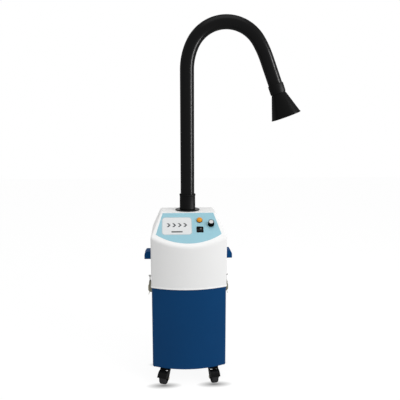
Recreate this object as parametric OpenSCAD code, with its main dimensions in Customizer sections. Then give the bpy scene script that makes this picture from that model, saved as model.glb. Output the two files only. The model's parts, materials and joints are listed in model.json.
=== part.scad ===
// Solder fume extractor: a wheeled filter bin, a lift-off blower head with a sloped
// control panel, and a bendable suction arm with a conical hood.
// Millimetres, +Z up, front towards -Y, origin on the floor under the middle of the body.

/* [Body] */
// Width of the head across its flat sides
body_w = 300; // [270:1:380]
// Depth from the flat back to the crown of the bowed front
body_d = 254; // [240:1:320]
// How far the front bows out beyond its corners
bow = 37; // [20:1:50]
// Radius of the upright corners
corner_r = 10; // [5:1:20]
// Height of the filter bin
bin_h = 332; // [300:1:420]
// Height of the head above the seam
head_h = 285; // [275:1:360]
// How far the bin stands in from the head on each side
bin_inset = 2; // [1:0.5:4]
// Sheet thickness of the bin
bin_wall = 1.5; // [1:0.1:3]
// Wall thickness of the moulded head
head_wall = 3; // [2:0.1:4]
// Height of the raised lip round the foot of the head
lip_h = 6; // [4:0.5:12]
// How far that lip stands out
lip_out = 1; // [0.5:0.1:2]

/* [Head top] */
// Depth of the flat top behind the control panel
top_d = 124; // [110:1:140]
// Width of the flat top between the side chamfers
top_w = 226; // [200:1:260]
// Drop from the flat top to the shoulders and the panel's front corners
shoulder_drop = 82; // [60:1:100]
// Radius of the bend at the shoulders
shoulder_r = 60; // [20:5:80]
// Radius of the top's side edges
roof_r = 12; // [4:1:15]
// Radius of the bend from the flat top to the panel
brow_r = 10; // [4:1:10]
// Radius of the bend from the panel to the bowed front
nose_r = 15; // [5:1:20]
// Thickness of the printed panel overlay
overlay_t = 0.5; // [0.3:0.1:1]
// Margin from the panel's top edge to the overlay
overlay_top = 4; // [2:1:10]
// Length of the overlay's straight sides down the slope
overlay_side = 107; // [80:1:115]
// Half width of the overlay at its top edge
overlay_half_top = 103; // [90:1:108]
// Half width of the overlay at its front corners
overlay_half_front = 129; // [110:1:135]
// How far the overlay's front edge bows out
overlay_bow = 44; // [20:1:48]

/* [Controls] */
// Pilot lamp diameter
lamp_d = 22; // [16:1:28]
// Pilot lamp, sideways from the middle
lamp_x = 45; // [30:1:60]
// Pilot lamp, down the slope from the panel's top edge
lamp_down = 43; // [30:1:50]
// Speed knob diameter
knob_d = 26; // [20:1:34]
// Speed knob height
knob_h = 17; // [12:1:22]
// Speed knob, sideways from the middle
knob_x = 90; // [75:1:98]
// Speed knob, down the slope
knob_down = 64; // [50:1:80]
// Rocker switch frame, width and length
rocker_w = 27; // [22:1:32]
// Rocker switch, sideways from the middle
rocker_x = 45; // [30:1:60]
// Rocker switch, down the slope
rocker_down = 89; // [80:1:98]
// Rocker travel between its two positions, degrees
rocker_travel = 16; // [10:1:20]
// Diameter of the knob's shaft
pot_shaft_d = 6; // [4:0.5:8]

/* [Suction arm] */
// Outside diameter of the bendable hose
hose_d = 57; // [50:0.5:75]
// Bore of the hose
hose_bore = 50; // [44:0.5:64]
// Hose axis in from the back of the head
hose_setback = 65.5; // [58:0.5:75]
// Height of the straight riser above the head
riser_h = 571; // [400:1:700]
// Radius of the first, wide bend
bend1_r = 233; // [180:1:300]
// Angle of the first bend
bend1_a = 25; // [15:1:35]
// Radius of the main arch
bend2_r = 152; // [130:1:200]
// Angle of the main arch
bend2_a = 124; // [100:1:130]
// Radius of the last, wide bend
bend3_r = 420; // [300:1:500]
// Angle of the last bend
bend3_a = 10.5; // [5:0.5:20]
// Straight hose between the last bend and the hood's cuff
leg_h = 106; // [60:1:160]
// Diameter of the flange on the head
flange_d = 101; // [96:1:118]
// Thickness of the flange
flange_t = 5; // [3:0.5:8]
// Wall of the rubber cuffs at both ends of the hose
cuff_wall = 4; // [3:0.5:6]
// Height of the lower cuff
cuff_h = 63; // [50:1:90]
// Length of the hood's cuff
hood_cuff_h = 38; // [30:1:50]
// Diameter of the hood's mouth
hood_d = 124; // [100:1:160]
// Length of the hood's cone
hood_h = 99; // [80:1:130]
// Wall of the hood
hood_wall = 2.5; // [2:0.1:4]

/* [Handles] */
// Length of each side handle
handle_l = 64; // [56:1:100]
// How far a handle stands out
handle_out = 28; // [24:1:36]
// Height of a handle
handle_h = 30; // [28:1:44]
// Foot of the handles above the seam
handle_up = 101; // [75:1:120]
// Wall of a handle
handle_wall = 3; // [2:0.5:4]

/* [Latches] */
// Latch middle, forward of the middle of the body
latch_forward = 0; // [0:1:60]
// Drop of the latch below the seam
latch_drop = 8; // [6:1:12]
// Lever pin diameter
latch_pin_d = 3; // [2.5:0.1:3.5]
// Bail wire diameter
bail_d = 2.5; // [2:0.1:3]
// Stand-off of the bail wire's middle from the head's lip
bail_off = 7; // [5:0.5:8]
// Thickness of the latch sheet
latch_t = 1.5; // [1:0.1:1.6]

/* [Casters] */
// Wheel diameter
wheel_d = 50; // [40:1:62]
// Wheel width
wheel_w = 26; // [20:1:30]
// Axle diameter
axle_d = 6; // [5:0.5:8]
// How far a wheel trails its swivel axis
trail = 20; // [15:1:24]
// Swivel axis in from the side of the head
caster_in_x = 54; // [48:1:70]
// Swivel axis in from the back, and from the crown of the front
caster_in_y = 39; // [36:1:50]
// Swivel stud diameter
stud_d = 10; // [8:1:12]

/* [Filters] */
// Clear height of the dirty-air space under the filters
plenum_h = 75; // [60:1:100]
// Pre-filter pad thickness
pre_h = 20; // [10:1:30]
// Pleated filter height
hepa_h = 90; // [60:1:110]
// Number of pleats
pleats = 24; // [12:1:30]
// Clear height above the filters
headroom = 35; // [25:1:60]

/* [Blower] */
// Inside height of the scroll
scroll_h = 50; // [40:1:60]
// Widening of the scroll at each quarter turn
scroll_step = 8; // [5:0.5:9]
// Number of impeller blades
blades = 14; // [8:1:20]
// Motor diameter
motor_d = 84; // [70:1:96]
// Motor height
motor_h = 72; // [50:1:85]
// Motor shaft diameter
shaft_d = 8; // [6:0.5:10]

/* [Hidden] */
$fn = 64;
eps = 0.01;
fit_gap = 0.05;
move_gap = 0.3;
nest_gap = 0.2;

// Stack of a caster from the floor up: wheel, crown of the fork, ball race, seat
axle_z = wheel_d / 2;
crown_room = 6.2;
crown_t = 3;
race_h = 2.5;
stem_t = 3;
z_crown = wheel_d + crown_room;
z_crown_top = z_crown + crown_t;
caster_h = z_crown_top + move_gap + race_h + stem_t;

z_bin = caster_h;
z_seam = z_bin + bin_h;
z_top = z_seam + head_h;
z_shoulder = z_top - shoulder_drop;
half_w = body_w / 2;
y_rear = body_d / 2;
y_crown = -body_d / 2;
y_corner = y_crown + bow;
y_panel = y_rear - top_d;
bow_r = (bow * bow + half_w * half_w) / (2 * bow);
bow_y = y_crown + bow_r;
panel_a = atan2(shoulder_drop, y_panel - y_corner);
chamfer_a = atan2(shoulder_drop, half_w - top_w / 2);

inner_corner_r = 5;
corner_steps = 8;
gasket_t = 4;
base_t = 2;
ledge_w = 6;
ledge_t = 3;
z_base = z_seam + gasket_t;
z_floor = z_base + base_t;

hose_y = y_rear - hose_setback;
hose_r = hose_d / 2;
z_flange = z_top + flange_t;
spigot_h = 30;
z_hose = z_flange + spigot_h + 2 * move_gap;
z_bend = z_top + riser_h;
cuff_r = hose_r + cuff_wall;
duct_t = 2;
duct_r = hose_bore / 2 + 3 + duct_t;

// Centres of the three bends and the hose's far end, in the arch's own plane as [x, z]
turn1 = 180 - bend1_a;
turn2 = turn1 - bend2_a;
turn3 = turn2 - bend3_a;
function heading(a) = [cos(a), sin(a)];
bend1_c = [bend1_r, z_bend];
bend2_c = bend1_c + (bend1_r - bend2_r) * heading(turn1);
bend3_c = bend2_c + (bend2_r - bend3_r) * heading(turn2);
bend3_end = bend3_c + bend3_r * heading(turn3);
leg_dir = [sin(turn3), -cos(turn3)];
cuff_at = bend3_end + leg_h * leg_dir;
hose_in_cuff = 20;
joint_step = 0.05;

z_tray = z_bin + plenum_h;
tray_t = 2;
filter_gap = 6;
filter_half = half_w - bin_inset - bin_wall - 12;
filter_y0 = y_corner + filter_gap;
filter_y1 = hose_y - duct_r - filter_gap;
filter_d = filter_y1 - filter_y0;
filter_ym = (filter_y0 + filter_y1) / 2;
z_pre = z_tray + tray_t;
z_hepa = z_pre + pre_h;
z_carbon = z_hepa + hepa_h;
carbon_h = z_seam - headroom - z_carbon;
frame_t = 6;
z_duct = z_tray - 40;

scroll_t = 2;
blower_gap = 3.5;
blower_front = y_crown + head_wall + blower_gap;
blower_back = hose_y - duct_r - blower_gap;
scroll_r = (blower_back - blower_front - 2 * scroll_t - 3 * scroll_step) / 2;
blower_y = blower_back - scroll_t - scroll_r;
impeller_r = scroll_r - 5;
eye_r = 0.64 * impeller_r;
scroll_lift = 15;
z_scroll = z_floor + scroll_lift;
z_lid = z_scroll + scroll_t + scroll_h;
z_motor = z_lid + scroll_t;
impeller_h = scroll_h - 12;
z_impeller = z_scroll + scroll_t + 6;
outlet_x = scroll_r + 2 * scroll_step;
outlet_w = 4 * scroll_step;
outlet_l = y_rear - blower_y - 0.5;

latch_y = -latch_forward;
wire_x = bin_inset + lip_out + bail_off;
pivot = [wire_x + 3.5, 14];
bail_pivot = [wire_x, 27];
bar_w = -31;
web_out = 4.6;
lever_half = 6.3;
ear_y = lever_half - 2 * latch_t - move_gap;
bail_y = lever_half + bail_d / 2 + 0.5;
cheek_y = bail_y + bail_d / 2 + 0.9;
latch_w = 2 * (cheek_y + latch_t + 0.3);
hook_gap = 0.9;
hook_out = wire_x + 3.5;

fork_in = wheel_w / 2 + 1.5;
fork_t = 4.5;
race_r = 15;
mudguard_gap = 2.5;
mudguard_t = 2;
mudguard_r = wheel_d / 2 + mudguard_gap;
stud_head_h = 3;
crown_r = fork_in + fork_t + 2.5;
fork_boss = axle_d / 2 + 5;
stud_up = 16;
nut_h = 8;
nut_w = 1.7 * stud_d;
casters = [
  [-1, y_crown + caster_in_y, -20],
  [1, y_crown + caster_in_y, 10],
  [-1, y_rear - caster_in_y, -14],
  [1, y_rear - caster_in_y, 12]];

grille_rim = 7;
grille_w = outlet_w + 2 * scroll_t + 2 * grille_rim + 2;
grille_h = scroll_h + 2 * scroll_t + 2 * grille_rim + 2;
grille_z = z_scroll + scroll_t + scroll_h / 2;
grille_t = 4;
slats = 7;
slat_tilt = 40;
socket_x = -half_w + 62;
socket_z = grille_z;
socket_w = 25;
socket_h = 17;
socket_deep = 18;
socket_t = 2.5;
blade_pitch = 7;

lamp_r = lamp_d / 2;
lamp_bezel_h = 2;
lamp_dome_h = 9;
lamp_barrel = 26;
rocker_half = rocker_w / 2;
rocker_rim = 3.2;
rocker_lift = 3;
rocker_pin_r = 1.5;
rocker_deep = 16;
paddle_half = rocker_half - rocker_rim - 0.6;
knob_r = knob_d / 2;
knob_lift = 1.5;
pot_r = pot_shaft_d / 2;
pot_w = 24;
pot_h = 10;
bush_r = pot_r + 1.5;

head_white = "whitesmoke";
bin_blue = [0.07, 0.23, 0.42];
rubber_black = [0.07, 0.07, 0.07];
steel = "silver";
dark_steel = [0.45, 0.44, 0.4];
caster_black = [0.1, 0.1, 0.11];

// Points along an arc, from one angle to the other
function arc(c, r, from, to) =
  [for (i = [0 : corner_steps]) c + r * heading(from + (to - from) * i / corner_steps)];

// Outline of the body seen from above, moved in by inset: a rounded box cut by the front's arc.
// Each front corner runs on past the arc, so that the two cross at a clear angle
module plan(inset = 0) {
  r = max(corner_r - inset, inner_corner_r);
  front_r = bow_r - inset;
  cx = half_w - inset - r;
  cy = bow_y - sqrt(pow(front_r - r, 2) - cx * cx);
  lean = asin(cx / (front_r - r));
  front = arc([cx, cy], r, lean - 90, 0);
  past = front[1] + 3 * (front[0] - front[1]);
  right = concat(
    [[past[0], y_crown - 5], past],
    [for (i = [1 : corner_steps]) front[i]],
    arc([cx, y_rear - inset - r], r, 0, 90));
  left = [for (i = [len(right) - 1 : -1 : 0]) [-right[i][0], right[i][1]]];
  intersection() {
    polygon(concat(right, left));
    translate([0, bow_y])
      circle(front_r, $fn = 360);
  }
}

// A flat ring that follows the body's outline
module plan_ring(outer, inner, h) {
  linear_extrude(h)
    difference() {
      plan(outer);
      plan(inner);
    }
}

module extrude_x(l) {
  rotate([90, 0, 90])
    linear_extrude(l, center = true)
      children();
}

module extrude_y(l) {
  rotate([90, 0, 0])
    linear_extrude(l, center = true)
      children();
}

module tube(outer_r, inner_r, h) {
  difference() {
    cylinder(r = outer_r, h = h);
    translate([0, 0, -1])
      cylinder(r = inner_r, h = h + 2);
  }
}

module rounded(w, h, r) {
  square([w - 2 * r, h], center = true);
  square([w, h - 2 * r], center = true);
  for (x = [-1, 1], y = [-1, 1])
    translate([x * (w / 2 - r), y * (h / 2 - r)])
      circle(r);
}

// Places a shape on the right side, or its mirror image on the left
module on_side(s) {
  if (s > 0)
    children();
  else
    mirror([1, 0, 0])
      children();
}

// Places a shape on the control panel: x sideways, down the slope, local +Z off the panel
module on_panel(x, down) {
  translate([0, y_panel, z_top])
    rotate([panel_a, 0, 0])
      translate([x, -down, 0])
        children();
}

// Points round a corner of an outline, from the face that looks along one angle to the next
function round_corner(corner, r, from, to) =
  let (
    facets = 5,
    step = (to - from) / facets,
    middle = (from + to) / 2,
    centre = corner - r / cos((to - from) / 2) * heading(middle),
    reach = r / cos(step / 2))
  [for (i = [0 : facets - 1]) centre + reach * heading(from + (i + 0.5) * step)];

// Front view of the head with its side chamfers, moved in by inset. Only the outside is rounded
module head_front(inset, z0) {
  side = half_w - inset;
  kink = z_shoulder - inset * (1 - sin(chamfer_a)) / cos(chamfer_a);
  roof = z_top - inset;
  edge = half_w - (inset + cos(chamfer_a) * (roof - z_shoulder)) / sin(chamfer_a);
  slant = 90 - chamfer_a;
  right = inset > 0 ? [[side, kink], [edge, roof]] : concat(
    round_corner([side, kink], shoulder_r, 0, slant),
    round_corner([edge, roof], roof_r, slant, 90));
  left = [for (i = [len(right) - 1 : -1 : 0]) [-right[i][0], right[i][1]]];
  polygon(concat([[-side, z0], [side, z0]], right, left));
}

// Side view of the head with its sloped panel, moved in by inset. Only the outside is rounded
module head_side(inset, z0) {
  roof = z_top - inset;
  back = y_rear - inset;
  edge = y_panel + inset * (1 - cos(panel_a)) / sin(panel_a);
  front = y_crown - 2;
  foot = z_top - (inset + sin(panel_a) * (y_panel - front)) / cos(panel_a);
  brow = inset > 0 ? [[edge, roof]] : round_corner([edge, roof], brow_r, 90, 90 + panel_a);
  polygon(concat([[front, z0], [back, z0], [back, roof]], brow, [[front, foot]]));
}

// Drum that trims the edge between the panel and the bowed front, its face tilted back by a
module nose_drum(a) {
  centre_y = y_crown + nose_r;
  centre_z = z_top - nose_r / cos(panel_a) - (y_panel - centre_y) * tan(panel_a);
  drum_r = bow_r / (cos(a) - tan(panel_a) * sin(a));
  translate([0, centre_y, centre_z])
    rotate([-a, 0, 0])
      translate([0, drum_r - nose_r, 0])
        cylinder(r = drum_r, h = 4 * body_d, center = true, $fn = 240);
}

module head_solid(inset, z0) {
  intersection() {
    translate([0, 0, z0])
      linear_extrude(z_top - z0 + 1)
        plan(inset);
    extrude_y(2 * body_d)
      head_front(inset, z0);
    extrude_x(2 * body_w)
      head_side(inset, z0);
  }
}

// Outside of the head, its front edge trimmed in two steps
module head_outside() {
  turn = 90 - panel_a;
  intersection() {
    head_solid(0, z_seam);
    nose_drum(turn / 3);
    nose_drum(2 * turn / 3);
  }
}

module bin_shell() {
  rim_w = 16;
  rim_t = 2;
  inside = bin_inset + bin_wall;
  color(bin_blue)
    difference() {
      translate([0, 0, z_bin])
        linear_extrude(bin_h)
          plan(bin_inset);
      translate([0, 0, z_bin + bin_wall])
        linear_extrude(bin_h - bin_wall - rim_t)
          plan(inside);
      translate([0, 0, z_seam - rim_t - 1])
        linear_extrude(rim_t + 2)
          plan(inside + rim_w);
      for (c = casters)
        translate([c[0] * (half_w - caster_in_x), c[1], z_bin - 1])
          cylinder(d = stud_d + 2 * nest_gap, h = bin_wall + 2);
    }
}

module bin_gasket() {
  color(rubber_black)
    translate([0, 0, z_seam])
      plan_ring(bin_inset + 3, bin_inset + 14, gasket_t);
}

// Two angles on the bin's side walls that carry the filter tray
module tray_brackets() {
  leg = 15;
  wall_x = half_w - bin_inset - bin_wall;
  length = y_rear - y_corner - 2 * 20;
  color(steel)
    for (s = [-1, 1])
      on_side(s)
        translate([0, (y_rear + y_corner) / 2, 0])
          extrude_y(length)
            polygon([
              [wall_x, z_tray], [wall_x - leg, z_tray], [wall_x - leg, z_tray - bin_wall],
              [wall_x - bin_wall, z_tray - bin_wall], [wall_x - bin_wall, z_tray - leg],
              [wall_x, z_tray - leg]]);
}

module filter_tray() {
  edge = 10;
  color(steel)
    translate([0, 0, z_tray])
      linear_extrude(tray_t)
        difference() {
          plan(bin_inset + bin_wall + 1);
          translate([0, hose_y])
            circle(duct_r + nest_gap);
          translate([0, filter_ym])
            square([2 * (filter_half - edge), filter_d - 2 * edge], center = true);
        }
}

module pre_filter() {
  color("gainsboro")
    translate([0, filter_ym, z_pre])
      linear_extrude(pre_h)
        rounded(2 * filter_half, filter_d, 4);
}

module hepa_frame() {
  color("burlywood")
    translate([0, filter_ym, z_hepa])
      linear_extrude(hepa_h)
        difference() {
          square([2 * filter_half, filter_d], center = true);
          square([2 * (filter_half - frame_t), filter_d - 2 * frame_t], center = true);
        }
}

// Filter paper folded to and fro across the frame
module hepa_pleats() {
  paper = 2;
  half = filter_half - frame_t - nest_gap;
  pitch = 2 * half / pleats;
  low = z_hepa + 6;
  high = z_hepa + hepa_h - 6 - paper;
  up = [for (i = [0 : pleats]) [-half + i * pitch, i % 2 == 0 ? low : high]];
  back = [for (i = [pleats : -1 : 0]) up[i] + [0, paper * 2]];
  color("ivory")
    translate([0, filter_ym, 0])
      extrude_y(filter_d - 2 * frame_t - 2 * nest_gap)
        polygon(concat(up, back));
}

// Open-topped cassette whose floor is a grid of slots
module carbon_cassette() {
  floor_t = 3;
  bars = 9;
  pitch = 2 * (filter_half - frame_t) / bars;
  color("dimgray")
    translate([0, filter_ym, z_carbon])
      difference() {
        linear_extrude(carbon_h)
          square([2 * filter_half, filter_d], center = true);
        translate([0, 0, floor_t])
          linear_extrude(carbon_h)
            square([2 * (filter_half - frame_t), filter_d - 2 * frame_t], center = true);
        for (i = [0 : bars - 1])
          translate([-filter_half + frame_t + (i + 0.5) * pitch, 0, floor_t / 2])
            cube([pitch - 4, filter_d - 2 * frame_t, floor_t + 2], center = true);
      }
}

module carbon_bed() {
  color([0.15, 0.15, 0.15])
    translate([0, filter_ym, z_carbon + 3])
      linear_extrude(carbon_h - 8)
        square([2 * (filter_half - frame_t - nest_gap), filter_d - 2 * (frame_t + nest_gap)], center = true);
}

// Pipe that takes the dirty air from the flange down past the filters
module inlet_duct() {
  top = z_top - head_wall - 1;
  collar_w = 5;
  collar_t = 3;
  color("lightgray")
    translate([0, hose_y, 0]) {
      translate([0, 0, z_duct])
        tube(duct_r, duct_r - duct_t, top - z_duct);
      translate([0, 0, z_floor])
        tube(duct_r + collar_w, duct_r - duct_t / 2, collar_t);
    }
}

module at_caster(i) {
  c = casters[i];
  translate([c[0] * (half_w - caster_in_x), c[1], 0])
    rotate([0, 0, c[2]])
      children();
}

// Fixed parts of the casters: seat, ball race and the stud that each fork turns on
module caster_stems() {
  seat_r = 19;
  color(caster_black)
    for (i = [0 : 3])
      at_caster(i) {
        translate([0, 0, caster_h - stem_t])
          cylinder(r = seat_r, h = stem_t);
        translate([0, 0, caster_h - stem_t - race_h])
          cylinder(r = race_r, h = race_h + 1);
        translate([0, 0, z_crown - move_gap])
          cylinder(d = stud_d, h = caster_h + bin_wall + stud_up - z_crown);
        translate([0, 0, z_crown - move_gap - stud_head_h])
          cylinder(r = stud_d / 2 + 3, h = stud_head_h);
      }
}

module caster_nuts() {
  color(steel)
    for (i = [0 : 3])
      at_caster(i)
        translate([0, 0, z_bin + bin_wall])
          difference() {
            cylinder(d = nut_w / cos(30), h = nut_h, $fn = 6);
            translate([0, 0, -1])
              cylinder(d = stud_d + 2 * nest_gap, h = nut_h + 2);
          }
}

// The part of a disc on the axle that the mudguard covers, seen from the side
module mudguard_sector(r) {
  low = 158;
  high = 86;
  reach = 2 * mudguard_r;
  translate([-trail, axle_z])
    intersection() {
      circle(r);
      polygon([[0, 0], reach * heading(high), reach * heading((low + high) / 2), reach * heading(low)]);
    }
}

// Fork: a crown that turns on the stud, two legs down to the axle and a mudguard between them
module caster_fork(i) {
  color(caster_black)
    at_caster(i)
      difference() {
        union() {
          translate([0, 0, z_crown])
            cylinder(r = crown_r, h = crown_t);
          for (s = [-1, 1])
            translate([s * (fork_in + fork_t / 2), 0, 0])
              extrude_x(fork_t) {
                polygon([
                  [7, z_crown_top - 1], [-14, z_crown_top - 1],
                  [-trail - fork_boss, axle_z], [-trail + fork_boss, axle_z], [7, z_crown - 6]]);
                translate([-trail, axle_z])
                  circle(fork_boss);
                mudguard_sector(mudguard_r + mudguard_t);
              }
          extrude_x(2 * fork_in + fork_t)
            difference() {
              mudguard_sector(mudguard_r + mudguard_t);
              translate([-trail, axle_z])
                circle(mudguard_r);
            }
        }
        translate([0, 0, z_crown - 1])
          cylinder(r = stud_d / 2 + fit_gap, h = crown_t + 2);
        translate([0, -trail, axle_z])
          rotate([0, 90, 0])
            cylinder(r = axle_d / 2 + fit_gap, h = 4 * fork_in, center = true);
      }
}

module caster_axle(i) {
  head_t = 2.5;
  out = fork_in + fork_t;
  color(steel)
    at_caster(i)
      translate([0, -trail, axle_z])
        rotate([0, 90, 0]) {
          cylinder(d = axle_d, h = 2 * out, center = true);
          for (s = [-1, 1])
            translate([0, 0, s * (out + head_t / 2)])
              cylinder(r = axle_d / 2 + 2, h = head_t, center = true);
        }
}

// Solid wheel with a rounded tread and a dished hub
module caster_wheel(i) {
  r = wheel_d / 2;
  half = wheel_w / 2;
  edge = 3;
  bore = axle_d / 2 + fit_gap;
  hub = axle_d / 2 + 5;
  dish = 3;
  color([0.08, 0.08, 0.09])
    at_caster(i)
      translate([0, -trail, axle_z])
        rotate([0, 90, 0])
          rotate_extrude()
            difference() {
              union() {
                translate([bore, -half])
                  square([r - edge - bore, 2 * half]);
                translate([bore, -half + edge])
                  square([r - bore, 2 * (half - edge)]);
                for (s = [-1, 1])
                  translate([r - edge, s * (half - edge)])
                    circle(edge);
              }
              for (s = [-1, 1])
                translate([(hub + r - 6) / 2, s * half])
                  square([r - 6 - hub, 2 * dish], center = true);
            }
}

// Moulded shell of the head, open below, with a ledge that the base plate is screwed to
module head_shell() {
  color(head_white)
    difference() {
      union() {
        head_outside();
        translate([0, 0, z_seam])
          linear_extrude(lip_h)
            plan(-lip_out);
      }
      translate([0, 0, z_seam - 1])
        linear_extrude(z_floor - z_seam + 1)
          plan(head_wall);
      translate([0, 0, z_floor - 1])
        linear_extrude(ledge_t + 2)
          plan(head_wall + ledge_w);
      head_solid(head_wall, z_floor + ledge_t);
      translate([0, hose_y, z_top - head_wall - 1])
        cylinder(r = hose_bore / 2 + 3, h = head_wall + 2);
      on_panel(lamp_x, lamp_down)
        cylinder(r = lamp_r - 1 + nest_gap, h = 4 * head_wall, center = true);
      on_panel(knob_x, knob_down)
        cylinder(r = bush_r + nest_gap, h = 4 * head_wall, center = true);
      on_panel(rocker_x, rocker_down)
        cube([rocker_w - 4 + 2 * nest_gap, rocker_w - 4 + 2 * nest_gap, 4 * head_wall], center = true);
      translate([outlet_x, y_rear, grille_z])
        cube([outlet_w + 2 * scroll_t + 1, 4 * head_wall, scroll_h + 2 * scroll_t + 1], center = true);
      translate([socket_x, y_rear, socket_z])
        extrude_y(4 * head_wall)
          square([socket_w, socket_h] + 2 * (socket_t + nest_gap) * [1, 1], center = true);
    }
}

module head_base() {
  color(steel)
    translate([0, 0, z_base])
      linear_extrude(base_t)
        difference() {
          plan(head_wall + move_gap);
          translate([0, hose_y])
            circle(duct_r + nest_gap);
          translate([0, blower_y])
            circle(eye_r);
        }
}

module panel_overlay() {
  front = overlay_top + overlay_side;
  arc_r = (overlay_bow * overlay_bow + overlay_half_front * overlay_half_front) / (2 * overlay_bow);
  color([0.66, 0.84, 0.9])
    on_panel(0, 0)
      linear_extrude(overlay_t)
        difference() {
          intersection() {
            polygon([
              [-overlay_half_top, -overlay_top], [overlay_half_top, -overlay_top],
              [overlay_half_front, -front], [overlay_half_front, -front - overlay_bow - 1],
              [-overlay_half_front, -front - overlay_bow - 1], [-overlay_half_front, -front]]);
            translate([0, -front - overlay_bow + arc_r])
              circle(arc_r, $fn = 240);
          }
          translate([lamp_x, -lamp_down])
            circle(lamp_r + 1 + nest_gap);
          translate([knob_x, -knob_down])
            circle(bush_r + 2);
          translate([rocker_x, -rocker_down])
            square(rocker_w + 2 * nest_gap, center = true);
        }
}

// Pilot lamp holder: a bezel on the panel and a barrel behind it
module lamp_body() {
  color([0.12, 0.12, 0.12])
    on_panel(lamp_x, lamp_down) {
      cylinder(r = lamp_r + 1, h = lamp_bezel_h);
      translate([0, 0, -lamp_barrel])
        cylinder(r = lamp_r - 1, h = lamp_barrel + 1);
    }
}

// Domed amber lens on the lamp holder
module lamp_lens() {
  dome_r = (pow(lamp_r, 2) + pow(lamp_dome_h / 2, 2)) / lamp_dome_h;
  color("orange")
    on_panel(lamp_x, lamp_down)
      translate([0, 0, lamp_bezel_h])
        intersection() {
          cylinder(r = lamp_r, h = lamp_dome_h);
          translate([0, 0, lamp_dome_h - dome_r])
            sphere(dome_r, $fn = 96);
        }
}

// Potentiometer behind the panel, with the threaded bush that clamps it
module speed_pot() {
  color("slategray")
    on_panel(knob_x, knob_down)
      difference() {
        union() {
          translate([0, 0, -head_wall - pot_h / 2])
            cube([pot_w, pot_w, pot_h], center = true);
          translate([0, 0, -head_wall - 1])
            cylinder(r = bush_r, h = head_wall + 2);
        }
        translate([0, 0, -head_wall - pot_h + 2])
          cylinder(r = pot_r + fit_gap, h = pot_h + head_wall + 2);
      }
}

module pot_shaft() {
  color(steel)
    on_panel(knob_x, knob_down)
      translate([0, 0, -head_wall - pot_h + 2 + move_gap])
        cylinder(r = pot_r, h = pot_h + head_wall + knob_lift + knob_h - 7);
}

// Fluted knob with a skirt and a seat for its metal cap
module speed_knob() {
  flutes = 18;
  skirt_h = 4;
  cap_r = 0.66 * knob_r;
  color([0.06, 0.06, 0.06])
    on_panel(knob_x, knob_down)
      translate([0, 0, knob_lift])
        difference() {
          union() {
            cylinder(r = knob_r, h = skirt_h);
            linear_extrude(knob_h)
              difference() {
                circle(knob_r - 1.5);
                for (k = [0 : flutes - 1])
                  rotate(k * 360 / flutes)
                    translate([knob_r - 1, 0])
                      circle(1.2);
              }
          }
          translate([0, 0, knob_h - 1])
            cylinder(r = cap_r + nest_gap, h = 2);
          translate([0, 0, -1])
            cylinder(r = bush_r + 1, h = 2 + move_gap);
          translate([0, 0, -1])
            cylinder(r = pot_r + fit_gap, h = knob_h - 1);
        }
}

module knob_cap() {
  cap_r = 0.66 * knob_r;
  color("gainsboro")
    on_panel(knob_x, knob_down)
      translate([0, 0, knob_lift + knob_h - 1]) {
        cylinder(r = cap_r, h = 1.6);
        translate([0, cap_r - 3, 1])
          cylinder(r = 1, h = 1);
      }
}

// Frame of the mains switch: a rim on the panel and an open box behind it
module rocker_frame() {
  inner = rocker_w - 2 * rocker_rim;
  shank = rocker_w - 4;
  color([0.05, 0.05, 0.05])
    on_panel(rocker_x, rocker_down)
      difference() {
        union() {
          linear_extrude(rocker_lift)
            rounded(rocker_w, rocker_w, 2);
          translate([0, 0, -rocker_deep])
            linear_extrude(rocker_deep + 1)
              square(shank, center = true);
        }
        translate([0, 0, -rocker_deep + 2])
          linear_extrude(rocker_deep + rocker_lift)
            square(inner, center = true);
        rotate([0, 90, 0])
          cylinder(r = rocker_pin_r + fit_gap, h = shank - 1, center = true);
      }
}

// Paddle of the mains switch, two faces that meet in a shallow V, tilted to its rest side
module rocker() {
  width = rocker_w - 2 * rocker_rim - 1;
  tilt = rocker_travel / 2;
  rise = rocker_lift + 3;
  waist = rocker_lift + 1;
  deep = 5;
  color([0.08, 0.08, 0.08])
    on_panel(rocker_x, rocker_down)
      rotate([tilt, 0, 0]) {
        extrude_x(width)
          polygon([
            [-paddle_half, rise], [0, waist], [paddle_half, rise],
            [paddle_half - 2, -2], [2, -deep], [-2, -deep], [-paddle_half + 2, -2]]);
        rotate([0, 90, 0])
          cylinder(r = rocker_pin_r, h = rocker_w - 6, center = true);
      }
}

// Speed control board standing on the base plate beside the blower
module control_board() {
  board_t = 1.6;
  board_h = 80;
  board_l = 90;
  foot_h = 8;
  board_x = -half_w + head_wall + ledge_w + 12;
  color("seagreen")
    translate([board_x, 30, z_floor]) {
      translate([0, -board_l / 2, foot_h])
        cube([board_t, board_l, board_h]);
      for (s = [-1, 1])
        translate([-4, s * board_l / 3 - 4, 0])
          cube([8 + board_t, 8, foot_h + 4]);
      translate([board_t, -20, foot_h + 20])
        cube([18, 40, 30]);
      translate([board_t + 1, 34, foot_h + 24])
        rotate([0, 90, 0])
          cylinder(r = 7, h = 20);
      translate([board_t - eps, 34, foot_h + 24])
        rotate([0, 90, 0])
          cylinder(r = 3, h = 2);
    }
}

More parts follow.
